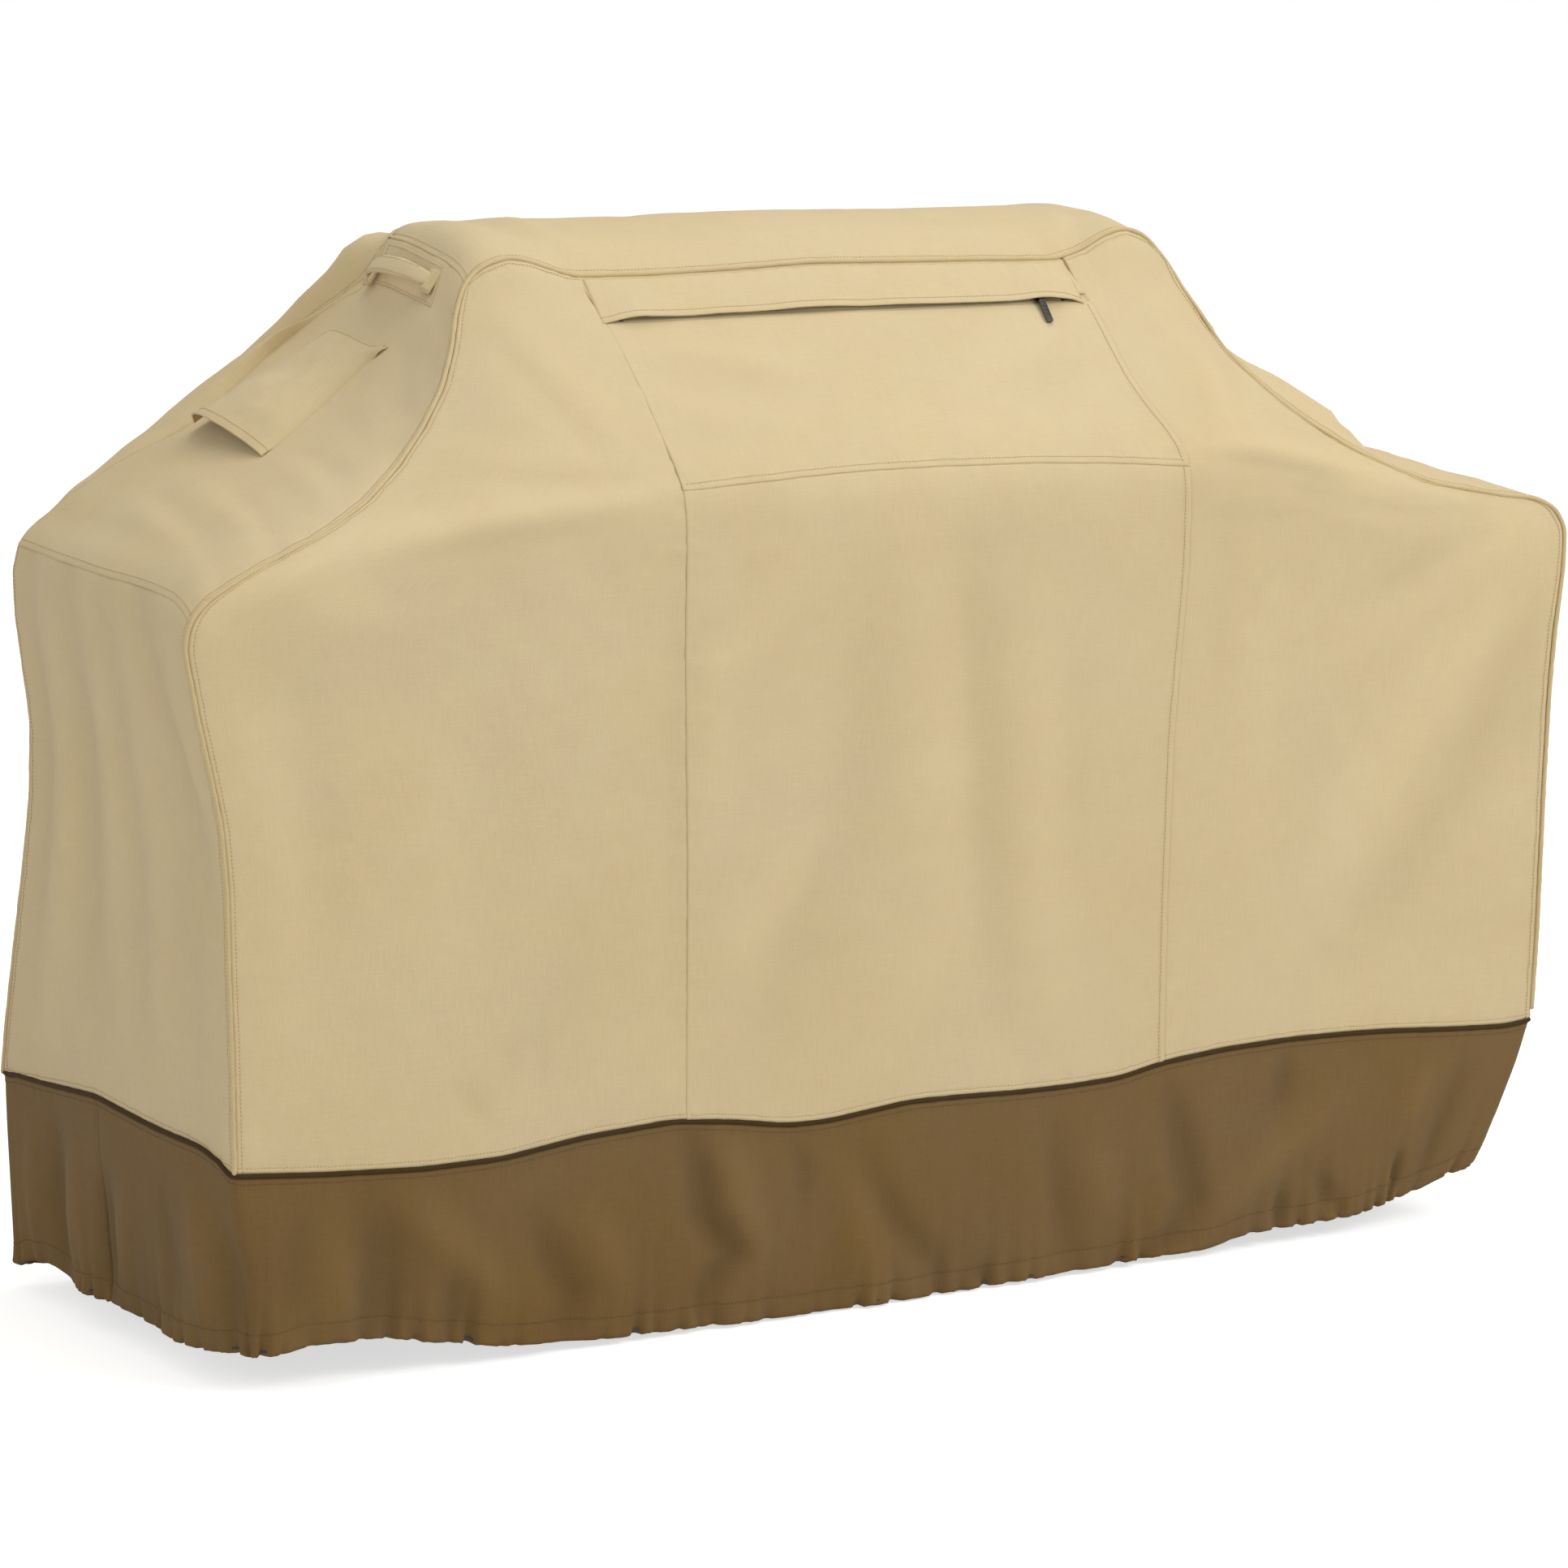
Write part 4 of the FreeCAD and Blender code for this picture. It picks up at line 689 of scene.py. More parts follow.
woven("tan_canvas", (0.682, 0.550, 0.326), fold_shade_and_tone=0.06)
woven("brown_canvas", (0.196, 0.117, 0.039), bump=0.4, heather=0.15, patch=0.03, streak=0.03,
      sheen=0.06, fold_shade_and_tone=0.13)
woven("dark_welt", (0.060, 0.032, 0.006), pitch=0.0010, bump=0.5, heather=0.14, patch=0.03,
      sheen=0.02)
woven("tan_welt", (0.650, 0.515, 0.285), pitch=0.0010, bump=0.45, heather=0.10)
woven("tan_webbing", (0.66, 0.53, 0.30), pitch=0.0018, bump=0.6, heather=0.12)
woven("lining", (0.50, 0.42, 0.27), bump=0.25, heather=0.08, rough=0.7)
woven("zip_tape", (0.66, 0.54, 0.33), pitch=0.0009, bump=0.6, heather=0.15)
woven("foam", (0.42, 0.38, 0.30), pitch=0.003, bump=0.4, heather=0.2, rough=0.95)
woven("tan_thread", (0.60, 0.47, 0.25), pitch=0.0005, bump=0.6, heather=0.15, rough=0.6)
woven("brown_thread", (0.188, 0.113, 0.042), pitch=0.0005, bump=0.6, heather=0.15, rough=0.6)
netting("mesh", (0.05, 0.043, 0.035))
braided("elastic", (0.045, 0.043, 0.040))
moulded("black_plastic", (0.022, 0.021, 0.020), rough=0.45, fine=1600.0, bump=0.2)
moulded("brass_metal", (0.55, 0.40, 0.17), rough=0.34, metal=1.0, fine=500.0, bump=0.06,
        drift=0.18, scratch=0.05, wear=(0.86, 0.70, 0.40))
moulded("spring_steel", (0.60, 0.60, 0.62), rough=0.25, metal=1.0, fine=600.0, bump=0.03,
        scratch=0.10)
moulded("zip_coil", (0.58, 0.47, 0.29), rough=0.38, fine=1200.0, bump=0.08, coat=0.15)
moulded("zip_metal", (0.085, 0.078, 0.070), rough=0.36, metal=0.85, fine=900.0, bump=0.08,
        scratch=0.06, wear=(0.40, 0.36, 0.30))
moulded("pull_rubber", (0.060, 0.054, 0.047), rough=0.58, fine=1400.0, bump=0.2,
        wear=(0.20, 0.18, 0.15))


# ================================================================== mesh building
# a mesh is a tuple (points, quads, uv, triangles)
NO_TRIANGLES = np.zeros((0, 3), int)


def build(name, mesh, material, nodes=(), body="cover", fold_shade_and_tone=None, edge=None):
    """Makes an object that rides on a body, with the material in its slot."""
    points, quads, uv, triangles = mesh
    points = (points + (0, Y_SHIFT, 0)) * 0.001
    data = bpy.data.meshes.new(name)
    data.vertices.add(len(points))
    data.vertices.foreach_set("co", points.astype(np.float32).ravel())
    corners = np.r_[quads.ravel(), triangles.ravel()].astype(np.int32)
    data.loops.add(len(corners))
    data.loops.foreach_set("vertex_index", corners)
    totals = np.r_[np.full(len(quads), 4), np.full(len(triangles), 3)].astype(np.int32)
    starts = np.r_[0, np.cumsum(totals)[:-1]].astype(np.int32)
    data.polygons.add(len(totals))
    data.polygons.foreach_set("loop_start", starts)
    data.polygons.foreach_set("loop_total", totals)
    data.polygons.foreach_set("use_smooth", np.full(len(totals), True))
    layer = data.uv_layers.new(name="UVMap")
    layer.data.foreach_set("uv", (uv[corners] * 0.001).astype(np.float32).ravel())
    # tone carries painted fold shade (random tone on the vent hoods); edge carries painted shade
    # along seams
    for key, values in (("fold_shade_and_tone", fold_shade_and_tone), ("edge", edge)):
        values = np.zeros(len(points)) if values is None else values
        attribute = data.attributes.new(key, "FLOAT", "POINT")
        attribute.data.foreach_set("value", values.astype(np.float32))
    data.update(calc_edges=True)
    data.validate()
    piece = bpy.data.objects.new(name, data)
    bpy.context.scene.collection.objects.link(piece)
    data.materials.append(MATERIALS[material])
    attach(piece, body)
    if nodes:
        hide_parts(*nodes)
    return piece


def unit(vectors):
    return vectors / (np.linalg.norm(vectors, axis=-1, keepdims=True) + 1e-12)


def outward(grid, centre=BODY_CENTRE):
    """Normals pointing away from the centre, and the sign that turned them so."""
    normals = unit(np.cross(np.gradient(grid, axis=1), np.gradient(grid, axis=0)))
    sign = np.sign(((grid - centre) * normals).sum(-1).mean())
    return normals * sign, sign


def grid_quads(rows, columns, closed=False, base=0, flip=False):
    i, j = np.meshgrid(np.arange(rows - 1), np.arange(columns if closed else columns - 1),
                       indexing="ij")
    k = (j + 1) % columns
    quads = np.stack([i * columns + j, i * columns + k,
                      (i + 1) * columns + k, (i + 1) * columns + j], -1).reshape(-1, 4) + base
    return quads[:, ::-1] if flip else quads


def shell(grid, thick, centre=BODY_CENTRE, facing=None):
    """Thin closed sheet: the grid outside, a second grid inside it, rims between."""
    rows, columns = grid.shape[:2]
    normals, sign = facing or outward(grid, centre)
    flip = sign < 0
    count = rows * columns
    points = np.concatenate([grid.reshape(-1, 3), (grid - normals * thick).reshape(-1, 3)])

    def rim(outer):
        inner = outer + count
        if flip:
            return np.stack([outer[:-1], outer[1:], inner[1:], inner[:-1]], -1)
        return np.stack([outer[1:], outer[:-1], inner[:-1], inner[1:]], -1)

    first_row, first_column = np.arange(columns), np.arange(rows) * columns
    quads = [grid_quads(rows, columns, flip=flip),
             grid_quads(rows, columns, base=count, flip=not flip),
             rim(first_row), rim((first_row + (rows - 1) * columns)[::-1]),
             rim(first_column[::-1]), rim(first_column + columns - 1)]
    widths = np.linalg.norm(np.diff(grid, axis=1), axis=-1)
    heights = np.linalg.norm(np.diff(grid, axis=0), axis=-1)
    u = np.r_[0, np.cumsum(widths.mean(0))]
    v = np.r_[0, np.cumsum(heights.mean(1))]
    uv = np.stack(np.broadcast_arrays(u[None], v[:, None]), -1).reshape(-1, 2)
    return points, np.concatenate(quads), np.concatenate([uv, uv]), NO_TRIANGLES


def sheet(name, grid, thick, material="tan_canvas", nodes=(), centre=BODY_CENTRE, facing=None,
          fold_shade_and_tone=(0.0, 0.0), edge=(0.0, 0.0)):
    """Builds a shell; the painted fold shade or tone, and the painted seam shade in edge, are
    (outside, inside) pairs.
    """
    fold_shade_and_tone, edge = (np.concatenate([np.broadcast_to(side, grid.shape[:2]).ravel()
                                  for side in pair]) for pair in (fold_shade_and_tone, edge))
    build(name, shell(grid, thick, centre, facing), material, nodes, fold_shade_and_tone=fold_shade_and_tone, edge=edge)


def inside_out(points, face, direction):
    """True if a face looks against the direction."""
    corner = points[face]
    return np.cross(corner[1] - corner[0], corner[-1] - corner[0]) @ direction < 0


def tube(path, radius, sides=10, closed=False, wobble=0.0, seed=1):
    """Round cord along a polyline; open ones have blunt cone ends."""
    count = len(path)
    if closed:
        tangents = unit(np.roll(path, -1, 0) - np.roll(path, 1, 0))
    else:
        tangents = unit(np.gradient(path, axis=0))
    across = np.cross(tangents, [0.13, 0.21, 0.97])
    weak = np.linalg.norm(across, axis=1) < 0.15
    across[weak] = np.cross(tangents[weak], [0.9, 0.3, 0.1])
    # carry the first direction along the path so that the tube doesn't twist
    carried = across[0] / np.linalg.norm(across[0])
    for i in range(count):
        carried = unit(carried - tangents[i] * (carried @ tangents[i]))
        across[i] = carried
    other = np.cross(tangents, across)
    random = np.random.RandomState(seed)
    run = lengths(path)
    radii = np.full(count, float(radius))
    if wobble:
        for _ in range(6):
            wave = np.sin(2 * np.pi * run / random.uniform(11, 60) + random.uniform(0, 6.3))
            radii = radii + wobble * wave / 2.4
    turn = (np.arange(sides) * 2 * np.pi / sides)[None, :, None]
    rings = path[:, None] + radii[:, None, None] * (
        np.cos(turn) * across[:, None] + np.sin(turn) * other[:, None])
    points = rings.reshape(-1, 3)
    i, j = np.meshgrid(np.arange(count if closed else count - 1), np.arange(sides),
                       indexing="ij")
    next_i, next_j = (i + 1) % count, (j + 1) % sides
    quads = np.stack([i * sides + j, next_i * sides + j,
                      next_i * sides + next_j, i * sides + next_j], -1).reshape(-1, 4)
    if inside_out(points, quads[0], points[quads[0, 0]] - path[0]):
        quads = quads[:, ::-1]
    girth = np.arange(sides) * 2 * np.pi * float(np.mean(radii)) / sides
    uv = np.stack([np.repeat(run, sides), np.tile(girth, count)], 1)
    if closed:
        return points, quads, uv, NO_TRIANGLES
    tips = [path[0] - tangents[0] * radii[0] * 0.7, path[-1] + tangents[-1] * radii[-1] * 0.7]
    points = np.concatenate([points, tips])
    uv = np.concatenate([uv, [[0, 0], [run[-1], 0]]])
    triangles = cap_triangles(count, sides)
    if inside_out(points, triangles[0], -tangents[0]):
        triangles = triangles[:, ::-1]
    return points, quads, uv, triangles


def cap_triangles(rings, sides):
    """Fans from two end points, numbered after all the rings, to the first and last ring."""
    tip, last = rings * sides, (rings - 1) * sides
    triangles = []
    for k in range(sides):
        following = (k + 1) % sides
        triangles += [[tip, k, following], [tip + 1, last + following, last + k]]
    return np.array(triangles)


def join(meshes):
    bases = np.cumsum([0] + [len(mesh[0]) for mesh in meshes])
    return (np.concatenate([mesh[0] for mesh in meshes]),
            np.concatenate([mesh[1] + base for mesh, base in zip(meshes, bases)]),
            np.concatenate([mesh[2] for mesh in meshes]),
            np.concatenate([mesh[3] + base for mesh, base in zip(meshes, bases)]))


# ================================================================== stitching
STITCH_PITCH, STITCH_LENGTH, STITCH_RADIUS = 4.4, 3.3, 0.42
STITCH_SINK = 0.12        # part of the radius below the cloth
STITCH_WANDER = 0.25      # how far a stitch may lie off its line
threads = {"tan": [], "brown": []}


def stitches(line, normals, seed):
    """Row of stitches lying on a surface; each is a six-sided spindle."""
    run = lengths(line)
    count = int(run[-1] / STITCH_PITCH)
    centres = (np.arange(count) + 0.5) * run[-1] / count
    start = sample(line, run, centres - STITCH_LENGTH / 2)
    end = sample(line, run, centres + STITCH_LENGTH / 2)
    middle = sample(line, run, centres)
    normal = unit(sample(normals, run, centres))
    tangent = unit(end - start)
    side = np.cross(tangent, normal)
    random = np.random.RandomState(seed)
    offset = side * random.uniform(-STITCH_WANDER, STITCH_WANDER, count)[:, None]
    lift = normal * (STITCH_RADIUS * (1 - STITCH_SINK))
    turn = (np.arange(6) * np.pi / 3)[None, :, None]
    section = STITCH_RADIUS * (np.cos(turn) * side[:, None]
                               + 0.8 * np.sin(turn) * normal[:, None])
    rings = [(middle + tangent * (place * STITCH_LENGTH) + offset + lift)[:, None] + section
             for place in (-0.34, 0.34)]
    tips = [(tip + offset - normal * 0.1)[:, None] for tip in (start, end)]
    points = np.concatenate([tips[0], *rings, tips[1]], 1).reshape(-1, 3)
    quads, triangles = [], []
    for k in range(6):
        following = (k + 1) % 6
        quads.append([1 + k, 1 + following, 7 + following, 7 + k])
        triangles += [[0, 1 + following, 1 + k], [13, 7 + k, 7 + following]]
    base = (np.arange(count) * 14)[:, None, None]
    quads = (np.array(quads)[None] + base).reshape(-1, 4)
    triangles = (np.array(triangles)[None] + base).reshape(-1, 3)
    outside = points[quads[0, 0]] - (middle[0] + offset[0] + lift[0])
    if inside_out(points, quads[0], outside):
        quads, triangles = quads[:, ::-1], triangles[:, ::-1]
    return points, quads, np.zeros((len(points), 2)), triangles


def sew(line, normals, seed, colour="tan"):
    """Adds a row of stitches to the thread of one colour."""
    threads[colour].append(stitches(line, np.broadcast_to(normals, line.shape), seed))


# ================================================================== grid edges
EDGES = ("u0", "u1", "v0", "v1")


def edge_gaps(grid):
    """Distance of every grid point to each edge, measured along its row or column."""
    widths = np.linalg.norm(np.diff(grid, axis=1), axis=-1)
    heights = np.linalg.norm(np.diff(grid, axis=0), axis=-1)
    u = np.pad(np.cumsum(widths, 1), ((0, 0), (1, 0)))
    v = np.pad(np.cumsum(heights, 0), ((1, 0), (0, 0)))
    return {"u0": u, "u1": u[:, -1:] - u, "v0": v, "v1": v[-1:] - v}


def turn_to(array, edge):
    """The grid array turned so that its first row lies on the edge."""
    turned = array.swapaxes(0, 1) if edge[0] == "u" else array
    return turned[::-1] if edge[1] == "1" else turned


def turn_back(array, edge):
    turned = array[::-1] if edge[1] == "1" else array
    return turned.swapaxes(0, 1) if edge[0] == "u" else turned


def inset(grid, edge, distance):
    """Polyline on the grid at a distance from an edge."""
    gaps = turn_to(edge_gaps(grid)[edge], edge)
    turned = turn_to(grid, edge)
    return np.array([sample(turned[:, j], gaps[:, j], distance) for j in range(gaps.shape[1])])


# ================================================================== unevenness and folds
def waves(run, seed, shortest, longest, count=7):
    """Irregular wave, about -1..1, along a length."""
    random = np.random.RandomState(seed)
    total = 0
    for _ in range(count):
        total = total + np.sin(2 * np.pi * run / random.uniform(shortest, longest)
                               + random.uniform(0, 6.3))
    return total / math.sqrt(count) * 0.9


def lumps(points, seed, shortest, longest, count=12):
    """Irregular soft field over space, about -1..1."""
    random = np.random.RandomState(seed)
    total = 0
    for _ in range(count):
        direction = random.normal(size=3)
        direction /= np.linalg.norm(direction)
        total = total + np.sin((points @ direction) * 2 * np.pi
                               / random.uniform(shortest, longest) + random.uniform(0, 6.3))
    return total / math.sqrt(count) * 0.9


def fold_field(first, second, folds):
    """Sum of long soft ridges (positive) and valleys (negative) along paths in a plane."""
    total = np.zeros(first.shape)
    for height, half_width, path in folds:
        run = lengths(path)
        nearest = np.full(first.shape, 1e9)
        place = np.zeros(first.shape)
        for k, step in enumerate(np.diff(path, axis=0)):
            span = run[k + 1] - run[k]
            part = np.clip(((first - path[k, 0]) * step[0] + (second - path[k, 1]) * step[1])
                           / (span ** 2 + 1e-9), 0, 1)
            distance = np.hypot(first - path[k, 0] - part * step[0],
                                second - path[k, 1] - part * step[1])
            closer = distance < nearest
            nearest = np.where(closer, distance, nearest)
            place = np.where(closer, (run[k] + part * span) / run[-1], place)
        taper = np.clip(np.sin(np.pi * (0.08 + 0.84 * place)), 0, 1) ** 0.8
        total += height * taper * np.exp(-0.5 * (nearest / half_width) ** 2)
    return total


# ================================================================== sewn panels
# For each kind of seam, with gap the distance from it:
# height and shade: relief and darkening of the cloth
# pucker: amount, reach, and the gaps between which it sets in
# lap: (distance past the seam, lift) of the rows carried on over or under the next panel
# stitch: gap of the row of stitches
SEAM_KINDS = {
    "welt": dict(
        height=lambda gap: (-1.5 * bell(gap, 2.6) + 0.7 * (ease(1.5, 4.0, gap)
                            - ease(7.5, 10.0, gap)) - 0.5 * bell(gap - 9.0, 1.5)),
        shade=lambda gap: bell(gap, 3.0) + 0.35 * bell(gap - 9.0, 1.4),
        pucker=(1.15, 15.0, 1.0, 6.0), lap=(), stitch=9.0),
    "over": dict(
        height=lambda gap: 0.9 * (1 - ease(6.2, 8.6, gap)) - 0.4 * bell(gap - 6.0, 1.2),
        shade=lambda gap: 0.25 * bell(gap - 6.0, 1.2),
        pucker=(0.7, 14.0, 0.5, 5.0), lap=((2.0, -0.9), (0.8, -0.15)), stitch=6.0),
    "under": dict(
        height=lambda gap: -1.3 * bell(gap, 2.4), shade=lambda gap: 0.6 * bell(gap, 1.8),
        pucker=(0.7, 14.0, 0.5, 5.0), lap=((4.5, -1.6), (2.0, -0.5)), stitch=None),
    "softunder": dict(
        height=lambda gap: -0.5 * bell(gap, 4.0), shade=lambda gap: 0.0 * gap,
        pucker=(1.1, 22.0, 0.5, 6.0), lap=((5.0, -1.6), (2.0, -0.5)), stitch=None),
    "softover": dict(
        height=lambda gap: 0.25 * bell(gap, 5.0), shade=lambda gap: 0.12 * bell(gap, 1.5),
        pucker=(1.1, 22.0, 0.5, 6.0), lap=((2.2, -0.8), (0.8, -0.1)), stitch=None),
}
seam_seeds = itertools.count(12)


def add_laps(seams, arrays):
    """Carries points, normals and shades on past each seam line that laps."""
    for edge, kind in seams:
        if kind == "free" or not SEAM_KINDS[kind]["lap"]:
            continue
        lap = SEAM_KINDS[kind]["lap"]
        points, normals, *shades = (turn_to(array, edge) for array in arrays)
        past = points[0] - points[2]
        past = past / (np.linalg.norm(past, axis=-1, keepdims=True) + 1e-9)
        added = np.array([points[0] + past * far + normals[0] * lift for far, lift in lap])
        turned = [np.concatenate([added, points])]
        turned += [np.concatenate([np.repeat(array[:1], len(lap), 0), array])
                   for array in (normals, *shades)]
        arrays = [turn_back(array, edge) for array in turned]
    return arrays


def panel(name, grid, seams, seed, folds=(), plane=(0, 2), unevenness=1.4, pucker=1.0,
          extra=0.0, keep=1.0):
    """Sewn cloth panel. seams names the kind at u0, u1, v0 and v1; plane gives the two
    coordinates the folds are drawn in; extra adds relief and keep scales all of it.
    Returns the finished grid and its normals."""
    seams = list(zip(EDGES, seams))
    normals, _ = outward(grid)
    gaps = edge_gaps(grid)
    nearest = np.minimum.reduce(list(gaps.values()))
    creases = fold_field(grid[..., plane[0]], grid[..., plane[1]], folds)
    creases = 13.0 * np.tanh(creases / 13.0)
    soft = unevenness * lumps(grid, seed, 130, 380)
    soft = soft + 0.30 * unevenness * lumps(grid, seed + 50, 45, 120)
    height = creases * (1 - 0.75 * fade(nearest, 16.0)) + soft * (1 - fade(nearest, 40.0))
    height = height + extra
    shade = np.zeros_like(height)
    for edge, kind in seams:
        seam_seed = next(seam_seeds)
        if kind == "free":
            continue
        seam = SEAM_KINDS[kind]
        gap = gaps[edge]
        run = gaps["v0" if edge[0] == "u" else "u0"]
        gather = (waves(run, seam_seed, 13, 34) * 0.55
                  + waves(run, seam_seed + 300, 38, 90) * 0.6)
        amount, reach, start, full = seam["pucker"]
        height += seam["height"](gap)
        height += pucker * amount * gather * fade(gap, reach) * ease(start, full, gap)
        shade = np.maximum(shade, seam["shade"](gap))
    finished = grid + normals * (height * keep)[..., None]
    normals, sign = outward(finished)
    # painted fold shade: lighter where the cloth rises, darker where it sinks
    fold_shade_and_tone = np.clip((creases + 0.5 * soft) / 7.0, -1.3, 1.3)
    lapped, lapped_normals, fold_shade_and_tone, shade = add_laps(seams, [finished, normals, fold_shade_and_tone, shade])
    sheet(name + "_cloth", lapped, 1.3, nodes=(name,), facing=(lapped_normals, sign),
          fold_shade_and_tone=(fold_shade_and_tone, fold_shade_and_tone), edge=(shade, 0.0))
    gaps = edge_gaps(finished)
    for edge, kind in seams:
        distance = None if kind == "free" else SEAM_KINDS[kind]["stitch"]
        if distance is None:
            continue
        line = inset(finished, edge, distance)
        row = np.abs(turn_to(gaps[edge], edge) - distance).argmin(0)
        line_normals = turn_to(normals, edge)[row, np.arange(len(row))]
        sew(line[2:-2], line_normals[2:-2], seam_seed)
    return finished, normals


# folds drawn in x z
FRONT_FOLDS = fold_table("""
    5 24: -148 867, -211 799, -284 722; 4 20: -164 548, -201 487, -275 402;
    -4 18: -137 499, -180 420, -223 322; 6 34: -9 858, 13 709, 19 569, 30 446, -40 293;
    -7 22: 61 860, 73 705, 79 564, 86 422, 109 300; 5 26: 150 790, 157 605, 158 463, 170 330;
    -3 20: 200 742, 203 458; -7 30: -70 800, -84 670, -95 532, -148 417, -205 300;
    -3 15: -295 777, -253 810; -3 14: -325 869, -321 734, -326 553, -322 370;
    4 18: -270 860, -276 700, -282 560;
    7 13: -800 905, -654 925, -506 935, -405 944, -320 955;
    -3 16: -770 892, -674 900, -556 912, -430 920; 3 12: -569 1003, -437 986, -315 973;
    -4 11: -560 985, -425 968, -325 962; 3 18: -837 875, -752 848, -655 824;
    5 22: -880 819, -850 730, -822 641, -810 508, -807 340; -3 20: -780 800, -760 640, -750 480;
    -3 26: -439 536, -460 448, -471 330; -3 10: -542 290, -522 372; -3 10: -492 300, -501 379;
    -3 10: -553 262, -602 318; 2.5 26: -640 700, -620 520, -600 400; -2 24: -560 760, -545 600;
    5 11: 375 972, 477 961, 578 940, 685 915; -4 10: 378 955, 519 933, 661 903;
    -3 13: 375 930, 519 905, 661 880, 740 868; 2.5 14: 400 915, 540 890, 690 850;
    7 34: 868 800, 761 690, 643 555, 520 380; -9 28: 872 720, 801 582, 717 470, 610 345;
    3 20: 844 835, 735 773, 640 721; -3 18: 800 850, 700 800, 600 770; -4 14: 872 646, 850 540;
    3 26: 470 760, 450 600, 455 430; -2.5 24: 560 660, 520 520, 500 400;
    -3 14: 420 900, 400 780, 395 650; 3 12: -296 1109, -208 1089, -84 1062;
    -3 11: -277 1094, -187 1068, -83 1047; 3 13: -314 1055, -226 1036, -112 1014;
    -3 11: -310 1074, -237 1055, -144 1033; 2.5 13: 102 1047, 183 1070, 269 1102;
    -2.5 14: 150 1030, 240 1050, 310 1070; 2 18: -60 1000, 80 1010, 220 1000;
    -3 13: 449 1068, 405 1008, 385 970; 3 13: 470 1055, 450 1020, 430 985;
    -3 14: -470 1120, -420 1040, -380 980; 3 16: -440 1130, -390 1060, -350 1000;
    -2 12: -545 1030, -470 1000, -400 985""")
BACK_FOLDS = fold_table("""
    6 30: -560 800, -600 600, -640 380; -6 26: -480 820, -500 620, -540 400;
    6 32: -140 860, -160 640, -120 380; -7 26: -40 850, -30 620, -60 360;
    5 28: 90 820, 120 600, 100 380; -5 24: 200 800, 190 560, 220 340;
    6 32: 800 790, 690 620, 560 420; -7 26: 840 700, 740 520, 640 380;
    5 14: -780 880, -620 905, -400 915; -4 14: -740 850, -600 870, -420 885;
    5 14: 360 920, 560 905, 760 875; -4 14: 370 890, 540 875, 720 845;
    4 22: -800 700, -780 500, -790 340; -4 20: 450 700, 430 500, 440 340;
    3 14: -250 1080, -60 1050, 120 1060; -3 13: -260 1040, -80 1015, 110 1030""")
# folds of the left end, drawn in y z
END_FOLDS = fold_table("""
    -8 18: -128 868, -156 784, -174 716, -212 651, -245 580; 6 26: -225 850, -240 740, -262 640;
    5 26: -86 828, -101 706, -117 575, -129 353; -5 22: -30 860, -40 700, -60 520, -75 330;
    6 28: 19 853, 3 738, -12 605, -20 380; -6 24: 80 862, 70 720, 62 560, 60 380;
    7 26: 150 857, 137 675, 135 491, 176 320; -6 20: 215 860, 205 700, 200 540, 235 380;
    -3 16: -190 500, -200 380, -215 300""")
# folds of the slopes, drawn in across x 400, up x 520
SLOPE_FOLDS = fold_table("""
    5 12: 20 30, 150 60, 300 95; -5 11: 20 52, 140 86, 280 118; 4 10: 10 90, 120 120, 230 135;
    -4 10: 15 112, 120 142, 200 160; 4 12: 340 40, 395 90; -4 12: 300 20, 385 60;
    4 12: 30 190, 110 205, 180 212; -3 12: 30 215, 100 235, 175 240;
    4 14: 60 300, 130 330, 170 390; -4 13: 30 330, 90 370, 150 420;
    3 12: 20 420, 120 450, 240 455; -3 12: 50 470, 160 480, 300 478""")
# folds of the top, drawn in x y
TOP_FOLDS = fold_table("""
    4 12: -300 -60, -330 0, -340 90; -4 12: -345 -60, -375 10, -380 100;
    3 16: -430 -50, -415 20, -410 100; 3 14: 330 -60, 360 -10, 350 60;
    -4 12: 370 -55, 395 0, 385 70; -2 16: -150 -60, -170 40; 2 18: 120 -60, 100 60;
    -3 12: 440 -40, 420 20, 430 90; -2 10: -260 20, -200 60, -150 110""")
WING_SEAMS = ("under", "welt", "welt", "welt")


def bend_height(x):
    return soft_lookup(BEND_SEAM, x)


def seam_allowance(name, line, normals, side, centre):
    """Narrow strip under a centre seam, running from one panel beneath its neighbour."""
    strip = [line + (side * offset, 0, 0) - normals * depth for offset, depth in
             ((7, 1.5), (3, 1.0), (0, 0.7), (-5, 0.8), (-11, 1.2), (-18, 1.8))]
    sheet(name, np.stack(strip, 1), 0.7, centre=centre)


